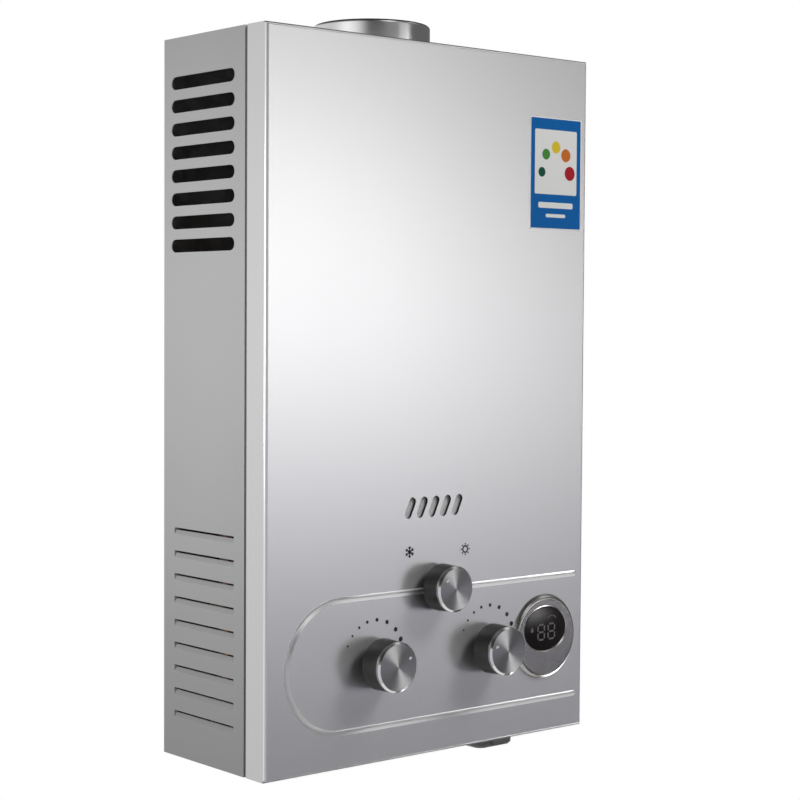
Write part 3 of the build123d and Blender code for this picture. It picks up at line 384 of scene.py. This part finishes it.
fold_end = front_y + 2.5 * mm
edge_dulling = 0.35
groove_margin = 4.0 * mm
groove_dulling = 0.06
lip_margin = 0.9 * mm
# The sight slots' walls are painted near black: painted shade inside the slots.
slot_walls_painted_shade = (
    (screen_low.x, front_y + 0.12 * mm, screen_low.z),
    (screen_high.x, screen_high.y, screen_high.z),
    grey(0.012),
    edge_dulling,
)
# The bottom fold is painted darker: painted shade that dims its highlight.
lower_fold_painted_shade = (
    (cover_low.x, front_y + 0.15 * mm, cover_low.z - 0.1 * mm),
    (cover_high.x, fold_end, cover_low.z + 1.7 * mm),
    grey(0.24),
    edge_dulling,
)
# The top fold is painted dark: a painted dark reflection along the upper edge.
upper_fold_painted_shade = (
    (cover_low.x, front_y + 0.4 * mm, cover_high.z - 1.2 * mm),
    (cover_high.x, fold_end, cover_high.z + 0.1 * mm),
    grey(0.13),
    edge_dulling,
)
pressed_groove = (
    (cover_low.x + groove_margin, front_y + 0.1 * mm, cover_low.z + groove_margin),
    (cover_high.x - groove_margin, front_y + 4.0 * mm, screen_low.z - 2.0 * mm),
    None,
    groove_dulling,
)
# The side panels' lips in the seam, painted darker as painted shade in the gap.
seam_lips_painted_shade = (
    (cover_low.x + lip_margin, front_y, cover_low.z + lip_margin),
    (cover_high.x - lip_margin, cover_high.y + 2.9 * mm, cover_high.z - lip_margin),
)


# Finishes of the material slots, and a few that single pieces take

along_pipe = (30.0, 30.0, 2600.0)
finishes = {
    "cover_steel": brushed_metal(
        "brushed_front_steel", grey(0.642), grey(0.644), roughness=0.27, stretch=(4.0, 4.0, 500.0),
        depth=0.0, spread=0.004, metallic=0.65,
        duller_and_shaded_boxes=(slot_walls_painted_shade, lower_fold_painted_shade, upper_fold_painted_shade, pressed_groove),
    ),
    "casing_paint": skinned(
        "silver_casing_paint", grey(0.50), grey(0.54), roughness=0.42,
        scale=2200.0, depth=10 * micron, seam_shade_box=seam_lips_painted_shade, Coat_Weight=0.08,
    ),
    "galvanised": galvanised_sheet("zinc_coated_sheet"),
    "flue_steel": brushed_metal(
        "polished_flue_steel", grey(0.60), grey(0.68), roughness=0.23, stretch=along_pipe
    ),
    # Near-black colour is painted shade, so the inside looks dark through the vents.
    "inner_steel": brushed_metal(
        "inner_steel_painted_dark", grey(0.03), grey(0.05), roughness=0.55, stretch=(60.0, 60.0, 700.0), metallic=0.4
    ),
    "knob_shell": skinned(
        "gunmetal_knob", grey(0.076), grey(0.088), roughness=0.36,
        scale=2600.0, depth=8 * micron, Metallic=0.9,
    ),
    "knob_face": spun_face("spun_knob_face", *gas_place),
    "spindle_steel": brushed_metal(
        "spindle_steel", grey(0.45), grey(0.58), roughness=0.30, stretch=(900.0, 20.0, 900.0)
    ),
    "bezel_plastic": skinned(
        "silver_bezel", tone(0.36, 0.35, 0.34), tone(0.39, 0.38, 0.37), roughness=0.24,
        scale=3000.0, depth=3 * micron, Metallic=1.0,
    ),
    "lens_plastic": skinned(
        "smoked_lens", tone(0.012, 0.009, 0.008), tone(0.015, 0.012, 0.011), roughness=0.12,
        scale=300.0, depth=0.5 * micron, Specular_IOR_Level=0.28,
    ),
    "board": printed_board("green_board"),
    "copper": brushed_metal(
        "drawn_copper", tone(0.70, 0.34, 0.20), tone(0.83, 0.45, 0.29), roughness=0.32,
        stretch=(400.0, 400.0, 60.0),
    ),
    "brass": threaded_brass("threaded_brass", 1.8 * mm),
    "die_cast": skinned(
        "die_cast_metal", grey(0.42), grey(0.52), roughness=0.50,
        scale=1500.0, depth=30 * micron, Metallic=0.85,
    ),
    "black_plastic": skinned(
        "black_moulding", grey(0.018), grey(0.026), roughness=0.48, scale=2400.0, depth=20 * micron
    ),
    "cream_plastic": skinned(
        "cream_moulding", tone(0.66, 0.60, 0.46), tone(0.72, 0.66, 0.52), roughness=0.45,
        scale=2000.0, depth=20 * micron,
    ),
    "ceramic": skinned(
        "white_ceramic", tone(0.72, 0.71, 0.67), tone(0.80, 0.79, 0.75), roughness=0.22,
        scale=700.0, depth=10 * micron,
    ),
    "rubber": skinned(
        "black_rubber", grey(0.015), grey(0.022), roughness=0.75, scale=1800.0, depth=30 * micron
    ),
    "cell_jacket": cell_sleeve("dry_cell_sleeve", -50 * mm),
    "contact_metal": brushed_metal(
        "nickel_contacts", grey(0.55), grey(0.68), roughness=0.25, stretch=(500.0, 500.0, 500.0)
    ),
    "screw_metal": brushed_metal(
        "plated_screws", grey(0.48), grey(0.60), roughness=0.28, stretch=(800.0, 800.0, 100.0)
    ),
}
water_face = spun_face("spun_water_knob_face", *water_place)
season_face = spun_face("spun_season_knob_face", *season_place)
polished_edge = brushed_metal(
    "polished_knob_edge", grey(0.62), grey(0.66), roughness=0.12, stretch=(900.0, 900.0, 900.0),
    depth=0.5 * micron, spread=0.03,
)
screen_cloth = woven_screen("wire_cloth", 1.7 * mm)
# Dark finish of the collar's rolled rim: a painted dark reflection.
rim_painted_shade = brushed_metal("collar_rim_painted_reflection", grey(0.09), grey(0.12), roughness=0.62, stretch=along_pipe)
grey_moulding = skinned(
    "grey_box_moulding", grey(0.27), grey(0.30), roughness=0.42, scale=2400.0, depth=20 * micron
)
black_ink = ink("black_print", 0.02, 0.02, 0.02)
blue_ink = ink("blue_print", 0.004, 0.115, 0.38, roughness=0.35)
white_ink = ink("white_print", 0.80, 0.80, 0.78, roughness=0.4)
digit_tint = ink("grey_segments", 0.16, 0.16, 0.155, roughness=0.3)
disc_inks = [
    ink("dark_green_print", 0.012, 0.08, 0.045),
    ink("green_print", 0.07, 0.25, 0.045),
    ink("yellow_print", 0.74, 0.54, 0.04),
    ink("orange_print", 0.58, 0.16, 0.03),
    ink("red_print", 0.40, 0.018, 0.03),
]

for entry in frame["record"]["subparts"]:
    piece = frame["nodes"][entry["node"]]
    piece.data.materials.clear()
    piece.data.materials.append(finishes[entry["material_slot"]])
frame["nodes"]["sight_screen"].data.materials[0] = screen_cloth
for name in ("battery_box", "battery_lid"):
    frame["nodes"][name].data.materials[0] = grey_moulding


# Rounder pieces in place of flat-sided ones


def set_piece(name, bm, material, body, stands_for=None, sharp=35.0):
    """Turn a finished bmesh into a piece that rides on a body."""
    mesh = bpy.data.meshes.new(name)
    bm.to_mesh(mesh)
    bm.free()
    mesh.materials.append(material)
    mesh.shade_smooth()
    mesh.set_sharp_from_angle(angle=radians(sharp))
    piece = bpy.data.objects.new(name, mesh)
    bpy.context.scene.collection.objects.link(piece)
    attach(piece, body)
    if stands_for:
        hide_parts(stands_for)
    return piece


def turn_profile(bm, profile, centre, axis, steps=96):
    """Spin a profile of radius and height pairs once round an axis."""
    across = Vector((1, 0, 0))
    points = [bm.verts.new(centre + across * radius + axis * height) for radius, height in profile]
    edges = [bm.edges.new(pair) for pair in zip(points, points[1:])]
    bmesh.ops.spin(
        bm, geom=points + edges, cent=centre, axis=axis, angle=2 * pi, steps=steps, use_merge=True
    )
    bmesh.ops.remove_doubles(bm, verts=bm.verts, dist=1e-6)
    bmesh.ops.recalc_face_normals(bm, faces=bm.faces)


def rounded_corner(radius, height, size, start, turn, steps=5):
    """Profile points of a quarter round about a corner's own centre."""
    angles = [radians(start + turn * i / steps) for i in range(steps + 1)]
    return [(radius + size * cos(a), height + size * sin(a)) for a in angles]


def only(kind, geometry):
    return [part for part in geometry if isinstance(part, kind)]


def joining(bm, verts):
    """The edges whose two ends are both among some points."""
    return [edge for edge in bm.edges if edge.verts[0] in verts and edge.verts[1] in verts]


def pull_ring(bm, edges, size, centre, back):
    """Draw a closed run of edges out to a ring of another size, further back or forward."""
    made = bmesh.ops.extrude_edge_only(bm, edges=edges)["geom"]
    ring = only(bmesh.types.BMVert, made)
    bmesh.ops.scale(bm, vec=size, space=Matrix.Translation(-centre), verts=ring)
    bmesh.ops.translate(bm, vec=(0, back, 0), verts=ring)
    return only(bmesh.types.BMEdge, made)


def knob_body(name, place, node, body, back_radius, face_radius, gap, length):
    """A slightly tapered knob with softened edges and the spindle's bore behind."""
    bm = bmesh.new()
    centre = Vector((place[0], front_y - gap, place[1]))
    edge = 0.9 * mm
    bore = 4.05 * mm
    bore_depth = 12.0 * mm
    profile = [(0.0, bore_depth), (bore, bore_depth), (bore, 0.0)]
    profile += rounded_corner(back_radius - edge, edge, edge, -90, 90)
    profile += rounded_corner(face_radius - edge, length - edge, edge, 0, 90)
    profile += [(0.0, length)]
    turn_profile(bm, profile, centre, Vector((0, -1, 0)))
    return set_piece(name, bm, finishes["knob_shell"], body, node)


def knob_disc(name, place, node, body, radius, reach, orbit, angle, finish):
    """The spun face: a flat disc with a polished chamfer and a round dimple near its edge."""
    bm = bmesh.new()
    chamfer = 1.6 * mm
    thickness = 3.4 * mm
    dimple = 1.5 * mm
    chamfer_start = 0.1 * mm
    cup_start = 0.05 * mm
    cup_profile = ((0.82, 0.45 * mm), (0.70, 0.25 * mm), (0.45, 0.10 * mm))
    facing = Matrix.Translation((place[0], front_y - reach, place[1])) @ to_front
    aside = (orbit * cos(radians(angle)), orbit * sin(radians(angle)), 0.0)
    spot = facing @ Matrix.Translation(aside)
    centre = facing.to_translation()
    cup_centre = spot.to_translation()
    rim = bmesh.ops.create_circle(bm, segments=96, radius=radius - chamfer, matrix=facing)["verts"]
    cup = bmesh.ops.create_circle(bm, segments=28, radius=dimple, matrix=spot)["verts"]
    bmesh.ops.triangle_fill(bm, edges=bm.edges[:], use_beauty=True)
    rim_edges = [edge for edge in bm.edges if edge.is_boundary and edge.verts[0] in rim]
    cup_edges = [edge for edge in bm.edges if edge.is_boundary and edge.verts[0] in cup]
    for grow, back in ((radius / (radius - chamfer), chamfer), (1.0, thickness - chamfer)):
        rim_edges = pull_ring(bm, rim_edges, (grow, 1.0, grow), centre, back)
    bmesh.ops.contextual_create(bm, geom=rim_edges)
    for shrink, back in cup_profile:
        cup_edges = pull_ring(bm, cup_edges, (shrink, 1.0, shrink), cup_centre, back)
    bmesh.ops.contextual_create(bm, geom=cup_edges)
    bmesh.ops.recalc_face_normals(bm, faces=bm.faces)
    for face in bm.faces:
        middle = face.calc_center_median()
        away = middle - centre
        outside = Vector((away.x, away.z)).length > radius - chamfer
        on_chamfer = outside and chamfer_start < away.y < chamfer
        in_cup = (middle - cup_centre).length < dimple and away.y > cup_start
        if on_chamfer or in_cup:
            face.material_index = 1
    disc = set_piece(name, bm, finish, body, node, sharp=25.0)
    disc.data.materials.append(polished_edge)
    return disc


for label, place, finish, orbit, angle in (
    ("gas", gas_place, finishes["knob_face"], 13.9 * mm, 27.0),
    ("water", water_place, water_face, 13.9 * mm, 160.0),
    ("season", season_place, season_face, 12.4 * mm, 143.0),
):
    body = f"{label}_control"
    shell_low, shell_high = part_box(f"{label}_knob")
    cap_low, cap_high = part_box(f"{label}_knob_cap")
    back_radius = (shell_high.x - shell_low.x) / 2
    face_radius = (cap_high.x - cap_low.x) / 2
    gap = front_y - shell_high.y
    length = shell_high.y - shell_low.y
    reach = front_y - cap_low.y
    knob_body(f"{label}_knob_body", place, f"{label}_knob", body, back_radius, face_radius, gap, length)
    knob_disc(
        f"{label}_knob_face", place, f"{label}_knob_cap", body, face_radius, reach, orbit, angle, finish
    )


def flue_ring():
    """The flue collar with its rolled upper rim, painted dark as a painted dark reflection."""
    bm = bmesh.new()
    low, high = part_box("flue_collar")
    base = Vector(((low.x + high.x) / 2, (low.y + high.y) / 2, low.z))
    height = high.z - low.z
    outer = 50.0 * mm
    inner = 46.2 * mm
    rim = 2.6 * mm
    lip = 0.5 * mm
    shaded_depth = 0.7 * rim
    profile = [(inner, height - lip), (inner, 0.0), (outer, 0.0)]
    profile += rounded_corner(outer - rim, height - rim, rim, 0, 90, steps=8)
    profile += [(inner + lip, height), (inner, height - lip)]
    turn_profile(bm, profile, base, Vector((0, 0, 1)), steps=128)
    # Faces at the top of the rim take the painted dark reflection.
    for face in bm.faces:
        if face.calc_center_median().z > high.z - shaded_depth:
            face.material_index = 1
    collar = set_piece(
        "flue_rolled_collar", bm, finishes["flue_steel"], "casing", "flue_collar", sharp=40.0
    )
    collar.data.materials.append(rim_painted_shade)
    return collar


def lens_oval(forward, half_width, half_height):
    """Where an oval round the lens's middle stands, in millimetres; it takes a circle of one millimetre."""
    x, z = lens_place
    sized = Matrix.Diagonal((half_width, half_height, 1.0, 1.0))
    return Matrix.Translation((x, front_y - forward * mm, z)) @ to_front @ sized


def display_ring():
    """The round display bezel: a rounded flank, a fine line, a flat face and an oval window."""
    bm = bmesh.new()
    x, z = bezel_place
    centre = Vector((x, front_y, z))
    reach, proud = 37.2, 0.0
    flank = (
        (37.15, 0.3), (36.7, 1.3), (36.0, 2.2), (35.2, 3.0), (34.5, 3.5),
        (33.6, 3.8), (32.9, 3.8), (32.6, 3.5), (32.2, 3.5), (31.9, 3.8),
    )
    half_width, half_height = 26.1, 20.5
    throat = (25.0 / half_width, 1.0, 19.4 / half_height)
    place = Matrix.Translation(centre) @ to_front
    rim = bmesh.ops.create_circle(bm, segments=120, radius=reach * mm, matrix=place)["verts"]
    edges = bm.edges[:]
    for radius, forward in flank:
        grow = radius / reach
        edges = pull_ring(bm, edges, (grow, 1.0, grow), centre, (proud - forward) * mm)
        reach, proud = radius, forward
    window = lens_oval(proud, half_width, half_height)
    opening = bmesh.ops.create_circle(bm, segments=120, radius=mm, matrix=window)["verts"]
    inner = joining(bm, opening)
    bmesh.ops.bridge_loops(bm, edges=edges + inner)
    middle = Vector((lens_place[0], 0.0, lens_place[1]))
    for narrow, back in ((throat, 0.7 * mm), ((1.0, 1.0, 1.0), 3.1 * mm)):
        inner = pull_ring(bm, inner, narrow, middle, back)
    outer = [edge for edge in bm.edges if edge.is_boundary and edge.verts[0] in rim]
    bmesh.ops.bridge_loops(bm, edges=inner + outer)
    bmesh.ops.recalc_face_normals(bm, faces=bm.faces)
    return set_piece(
        "display_round_bezel", bm, finishes["bezel_plastic"], "casing", "display_bezel",
        sharp=30.0,
    )


def display_window():
    """The oval smoked lens with a softened front edge."""
    bm = bmesh.new()
    thickness = 2.0 * mm
    softened = 0.35 * mm
    oval = lens_oval(1.4, half_width=24.95, half_height=19.35)
    bmesh.ops.create_circle(bm, cap_ends=True, segments=120, radius=mm, matrix=oval)
    made = bmesh.ops.extrude_face_region(bm, geom=bm.faces[:])["geom"]
    top = only(bmesh.types.BMVert, made)
    bmesh.ops.translate(bm, vec=(0, -thickness, 0), verts=top)
    bmesh.ops.bevel(
        bm, geom=joining(bm, top), offset=softened, affect="EDGES", segments=3, profile=0.5, material=-1
    )
    bmesh.ops.recalc_face_normals(bm, faces=bm.faces)
    return set_piece(
        "display_oval_lens", bm, finishes["lens_plastic"], "casing", "display_lens",
        sharp=40.0,
    )


flue_ring()
display_ring()
display_window()


# Prints on the front, with places and sizes in millimetres


def flat_place(x, z, angle=0.0):
    """Where a flat shape of the front stands, turned in the plane of the front."""
    turned = Matrix.Rotation(radians(angle), 4, "Z")
    return Matrix.Translation((x * mm, 0.0, z * mm)) @ to_front @ turned


def dot(bm, x, z, radius):
    """A round spot; gives its points."""
    place = flat_place(x, z)
    return bmesh.ops.create_circle(bm, cap_ends=True, segments=32, radius=radius * mm, matrix=place)["verts"]


def stroke(bm, x, z, length, width, angle=0.0):
    """A straight bar round its middle."""
    sized = flat_place(x, z, angle) @ Matrix.Diagonal((length * mm / 2, width * mm / 2, 1.0, 1.0))
    bmesh.ops.create_grid(bm, x_segments=1, y_segments=1, size=1.0, matrix=sized)


def ray(bm, x, z, reach, angle, length, width, twist=0.0):
    """A bar at some distance from a place, turned with its own direction."""
    turn = radians(angle)
    stroke(bm, x + reach * cos(turn), z + reach * sin(turn), length, width, angle + twist)


def hoop(bm, x, z, radius, width):
    """A flat ring between two circles."""
    rims = []
    for reach in (radius, radius - width):
        made = bmesh.ops.create_circle(bm, segments=40, radius=reach * mm, matrix=flat_place(x, z))["verts"]
        rims += joining(bm, made)
    bmesh.ops.bridge_loops(bm, edges=rims)


def drop(bm, x, z, radius):
    """A water drop: a disc whose upper side is drawn to a point."""
    taper = 0.7
    tall = 1.9
    for vert in dot(bm, x, z, radius):
        rise = (vert.co.z / mm - z) / radius
        if rise > 0:
            vert.co.x = (x + (vert.co.x / mm - x) * (1 - rise) ** taper) * mm
            vert.co.z = (z + rise * radius * tall) * mm


def print_on_front(name, bm, material, lift, thickness=0.05):
    """Give flat shapes a little thickness and lay them on a face that looks to the front."""
    bmesh.ops.translate(bm, vec=(0, front_y - lift * mm, 0), verts=bm.verts)
    made = bmesh.ops.extrude_face_region(bm, geom=bm.faces[:])["geom"]
    bmesh.ops.translate(bm, vec=(0, -thickness * mm, 0), verts=only(bmesh.types.BMVert, made))
    bmesh.ops.recalc_face_normals(bm, faces=bm.faces)
    return set_piece(name, bm, material, "casing")


def dial_dots():
    """Rising rows of dots over the two lower knobs."""
    bm = bmesh.new()
    angles = (157.7, 140.3, 122.5, 105.0, 85.4, 64.3, 42.0, 22.5)
    reach = 30.05
    first_size, growth = 0.85, 0.18
    for x, z in ((-64.7, -207.3), (60.6, -206.9)):
        for i, angle in enumerate(angles):
            turn = radians(angle)
            dot(bm, x + reach * cos(turn), z + reach * sin(turn), first_size + growth * i)
    return print_on_front("dial_dots", bm, black_ink, 0.0)


def season_marks():
    """A six-armed cold mark and a ringed warm mark on either side of the season knob."""
    bm = bmesh.new()
    cold = (-27.9, -124.6)
    warm = (33.9, -126.6)
    for i in range(6):
        angle = 60 * i + 30
        ray(bm, *cold, reach=2.4, angle=angle, length=4.8, width=1.3)
        ray(bm, *cold, reach=3.6, angle=angle, length=2.8, width=1.0, twist=90)
    hoop(bm, *warm, radius=3.4, width=1.4)
    for i in range(8):
        ray(bm, *warm, reach=4.5, angle=45 * i, length=1.4, width=1.3)
    return print_on_front("season_marks", bm, black_ink, 0.0)


def display_segments():
    """Two resting seven-segment figures and two small marks under the lens."""
    bm = bmesh.new()
    bar = 1.6
    half_wide, half_tall = 3.9, 6.6
    z = -206.0
    for x in (121.2, 133.6):
        for level in (-1, 0, 1):
            stroke(bm, x, z + level * half_tall, 5.6, bar)
        for side in (-1, 1):
            for level in (-1, 1):
                stroke(bm, x + side * half_wide, z + level * half_tall / 2, 4.8, bar, 90)
    drop(bm, 110.2, -203.6, 1.8)
    arch_x, arch_z = 134.0, -195.6
    arch_width, arch_height = 5.0, 3.4
    for i in range(5):
        angle = 150 - 30 * i
        turn = radians(angle)
        stroke(bm, arch_x + arch_width * cos(turn), arch_z + arch_height * sin(turn), 1.7, 1.1, angle - 90)
    return print_on_front("display_segments", bm, digit_tint, 3.4, 0.04)


def sticker_layer(name, fields, material, lift, thickness, corner):
    """One printed layer of the sticker: rectangles given by middle, width and height."""
    bm = bmesh.new()
    for x, z, width, height in fields:
        stroke(bm, x, z, width, height)
    bmesh.ops.bevel(
        bm, geom=bm.verts[:], offset=corner * mm, affect="VERTICES", segments=5, profile=0.5, material=-1
    )
    return print_on_front(name, bm, material, lift, thickness)


def front_sticker():
    """A paper label of coloured fields without words."""
    x, z = 137.2, 194.5
    paper, film = 0.06, 0.02
    ground = (x, z, 60.4, 95.0)
    fields = [(x, z + 10.0, 51.0, 56.0), (x, z - 27.5, 42.0, 5.0), (x, z - 36.5, 24.0, 3.0)]
    sticker_layer("sticker_paper", [(x, z, 62.4, 97.0)], white_ink, 0.0, paper, corner=1.5)
    sticker_layer("sticker_ground", [ground], blue_ink, paper, film, corner=1.0)
    sticker_layer("sticker_field", fields, white_ink, paper + film, film, corner=1.4)
    arc_width, arc_height = 17.0, 22.0
    first_size, growth = 4.2, 0.5
    for i, colour in enumerate(disc_inks):
        bm = bmesh.new()
        turn = radians(180 - 45 * i)
        dot(bm, x + arc_width * cos(turn), z + 1.0 + arc_height * sin(turn), first_size + growth * i)
        print_on_front(f"sticker_disc_{i + 1}", bm, colour, paper + 2 * film, film)


dial_dots()
season_marks()
display_segments()
front_sticker()


# Studio and camera


def pale_floor():
    """A pale floor well below the hanging object, white to the eye and to shiny metal."""
    bm = bmesh.new()
    place = Matrix.Translation((0, -0.2, -2.4))
    bmesh.ops.create_circle(bm, cap_ends=True, segments=96, radius=1.45, matrix=place)
    mesh = bpy.data.meshes.new("pale_floor")
    bm.to_mesh(mesh)
    bm.free()
    floor = bpy.data.objects.new("pale_floor", mesh)
    bpy.context.scene.collection.objects.link(floor)
    material = bpy.data.materials.new("pale_floor_paint")
    material.use_nodes = True
    graph = Graph(material.node_tree)
    nodes = material.node_tree.nodes
    shader = nodes["Principled BSDF"]
    shader.inputs["Base Color"].default_value = grey(0.8)
    shader.inputs["Roughness"].default_value = 0.9
    path = graph.add("ShaderNodeLightPath").outputs
    mirrored = graph.math("MAXIMUM", path["Is Glossy Ray"], path["Is Transmission Ray"])
    seen = graph.math("MAXIMUM", path["Is Camera Ray"], mirrored)
    white = graph.add("ShaderNodeEmission", {"Color": grey(1.0), "Strength": 1.0})
    mixed = graph.add("ShaderNodeMixShader", {0: seen, 1: shader.outputs[0], 2: white.outputs[0]})
    graph.put(nodes["Material Output"].inputs["Surface"], mixed.outputs[0])
    mesh.materials.append(material)


def soft_box_glow(graph, aim, ahead):
    """A soft box in front to the right, narrower upwards and wider downwards."""
    box_aside, box_height = 0.745, 0.056
    box_width, least_width = 0.179, 0.08
    reach_up, reach_down = 0.167, 0.141
    forward = graph.math("MAXIMUM", ahead, 0.05)
    across = graph.math("DIVIDE", aim["X"], forward)
    height = graph.math("DIVIDE", aim["Z"], forward)
    rise = graph.math("SUBTRACT", height, box_height)
    risen = graph.math("MAXIMUM", rise, 0.0)
    fallen = graph.math("SUBTRACT", risen, rise)

    def slanted(start, upwards, downwards):
        lower = graph.math("MULTIPLY_ADD", fallen, downwards, start)
        return graph.math("MULTIPLY_ADD", risen, upwards, lower)

    narrowed = slanted(box_width, upwards=-2.945, downwards=0.903)
    width = graph.math("MAXIMUM", narrowed, least_width)
    middle = slanted(box_aside, upwards=-0.134, downwards=0.25)
    aside = graph.math("DIVIDE", graph.math("SUBTRACT", across, middle), width)
    above = graph.math("DIVIDE", risen, reach_up)
    below = graph.math("DIVIDE", fallen, reach_down)
    away = [graph.math("MULTIPLY", part, part) for part in (aside, above, below)]
    return graph.bell(graph.math("ADD", away[0], graph.math("ADD", away[1], away[2])))


def dark_flags(graph, aim, bearing):
    """Dim cloths on both sides of the soft box; the left one hangs over a pale lower part."""
    pale = 0.70
    left_cloth = graph.between(bearing, 0.05, 0.176, radians(-20), radians(20))
    under_left = graph.between(aim["Z"], pale, 0.05, 0.130, 0.142)
    right_cloth = graph.between(bearing, 0.11, 0.165, radians(48), radians(64))
    beside_right = graph.between(bearing, pale, 0.0, radians(10), radians(24))
    left_flag = graph.math("MAXIMUM", left_cloth, under_left)
    right_flag = graph.math("MAXIMUM", right_cloth, beside_right)
    return graph.math("MINIMUM", left_flag, right_flag)


def pale_walls(graph, aim, bearing):
    """Where the walls at the far left and right stand, and how bright they are."""
    plain_level, band_level = 0.95, 0.70
    band_bearing, band_width = radians(-88), radians(20)
    left_wall = graph.between(bearing, 0.0, 1.0, radians(-44), radians(-64))
    left_wall = graph.math("MULTIPLY", left_wall, graph.between(aim["Z"], 1.0, 0.15, 0.22, 0.45))
    right_wall = graph.between(bearing, 0.0, 1.0, radians(125), radians(150))
    wall = graph.math("MAXIMUM", left_wall, right_wall)
    offset = graph.math("DIVIDE", graph.math("SUBTRACT", bearing, band_bearing), band_width)
    bright_band = graph.bell(graph.math("MULTIPLY", offset, offset))
    return wall, graph.math("MULTIPLY_ADD", bright_band, band_level, plain_level)


def small_lights(graph, direction, level):
    """Add soft spots of light, each with its direction, sharpness and strength."""
    for aimed, sharpness, strength in (
        ((0.645, -0.36, 0.673), 55.0, 2.0),
        ((0.809, -0.185, -0.558), 80.0, 22.0),
        ((0.403, -0.904, 0.145), 150.0, 1.2),
        ((0.0, -0.81, 0.586), 50.0, 2.8),
    ):
        along = graph.vector("DOT_PRODUCT", direction, aimed, result="Value")
        short = graph.math("MULTIPLY", graph.math("SUBTRACT", along, 1.0), sharpness)
        level = graph.math("MULTIPLY_ADD", graph.math("EXPONENT", short), strength, level)
    return level


def studio_world():
    """White to the eye; shiny metal finds a soft box, dark flags, pale walls and small lights."""
    glow_strength = 5.3
    fill_strength = 0.115
    mirror_tone = grey(0.985)
    cool_tone = tone(0.985, 0.972, 1.18)
    world = bpy.data.worlds.new("white_studio")
    bpy.context.scene.world = world
    world.use_nodes = True
    graph = Graph(world.node_tree)
    nodes = world.node_tree.nodes
    nodes.remove(nodes["Background"])
    direction = graph.add("ShaderNodeTexCoord").outputs["Generated"]
    aim = graph.split(direction)
    ahead = graph.math("MULTIPLY", aim["Y"], -1.0)
    bearing = graph.math("ARCTAN2", aim["X"], ahead)
    wall, wall_level = pale_walls(graph, aim, bearing)
    open_front = graph.math("SUBTRACT", 1.0, wall)

    glow = soft_box_glow(graph, aim, ahead)
    front_level = graph.math("MULTIPLY_ADD", glow, glow_strength, dark_flags(graph, aim, bearing))
    front_part = graph.math("MULTIPLY", front_level, open_front)
    around = graph.math("ADD", front_part, graph.math("MULTIPLY", wall, wall_level))
    level = small_lights(graph, direction, around)

    below = graph.between(aim["Z"], 0.0, 1.0, -0.02, -0.15)
    above_floor = graph.between(aim["Z"], 1.0, 0.0, -0.30, -0.45)
    cool = graph.math("MULTIPLY", graph.math("MULTIPLY", below, above_floor), open_front)
    tint = graph.blend(cool, mirror_tone, cool_tone)

    mirrored = graph.add("ShaderNodeBackground", {"Color": tint, "Strength": level}).outputs[0]
    plain = graph.add("ShaderNodeBackground", {"Color": grey(1.0), "Strength": 1.0}).outputs[0]
    fill = graph.add("ShaderNodeBackground", {"Color": grey(1.0), "Strength": fill_strength}).outputs[0]
    path = graph.add("ShaderNodeLightPath").outputs
    seen = graph.math("MAXIMUM", path["Is Camera Ray"], path["Is Transmission Ray"])
    lit = graph.add("ShaderNodeMixShader", {0: path["Is Glossy Ray"], 1: fill, 2: mirrored}).outputs[0]
    mixed = graph.add("ShaderNodeMixShader", {0: seen, 1: lit, 2: plain}).outputs[0]
    graph.put(nodes["World Output"].inputs["Surface"], mixed)


def soft_lamp(name, place, target, size, power):
    """A square soft box that looks at a point."""
    lamp = bpy.data.lights.new(name, "AREA")
    lamp.shape = "RECTANGLE"
    lamp.size = size
    lamp.size_y = size
    lamp.energy = power
    holder = bpy.data.objects.new(name, lamp)
    bpy.context.scene.collection.objects.link(holder)
    holder.location = place
    holder.visible_camera = False
    holder.rotation_euler = (Vector(target) - Vector(place)).to_track_quat("-Z", "Y").to_euler()
    return holder


def photo_camera():
    """The camera at the photograph's place: to the left of the front and level with the upper half."""
    turn, tilt, roll = radians(-40.14), radians(2.47), radians(0.34)
    back = Vector((sin(turn) * cos(tilt), -cos(turn) * cos(tilt), sin(tilt)))
    right = Vector((cos(turn), sin(turn), 0.0))
    up = back.cross(right)
    level = right * cos(roll) + up * sin(roll)
    upright = up * cos(roll) - right * sin(roll)
    lens = bpy.data.cameras.new("photo_camera")
    lens.lens = 85.3
    lens.sensor_width = 36.0
    lens.clip_end = 50.0
    camera = bpy.data.objects.new("photo_camera", lens)
    bpy.context.scene.collection.objects.link(camera)
    place = Matrix((level, upright, back)).transposed().to_4x4()
    place.translation = Vector((-1037.2, -1325.5, 67.9)) * mm
    camera.matrix_world = place
    bpy.context.scene.camera = camera


pale_floor()
studio_world()
soft_lamp("left_soft_box", (-0.60, -0.06, 0.08), (-0.175, -0.06, 0.08), size=0.3, power=1.36)
upper_box = soft_lamp("upper_soft_box", (1.15, -1.55, 1.55), (0.0, -0.1, -0.1), size=0.9, power=46.0)
upper_box.visible_glossy = False
photo_camera()
bpy.context.scene.view_settings.view_transform = "Standard"
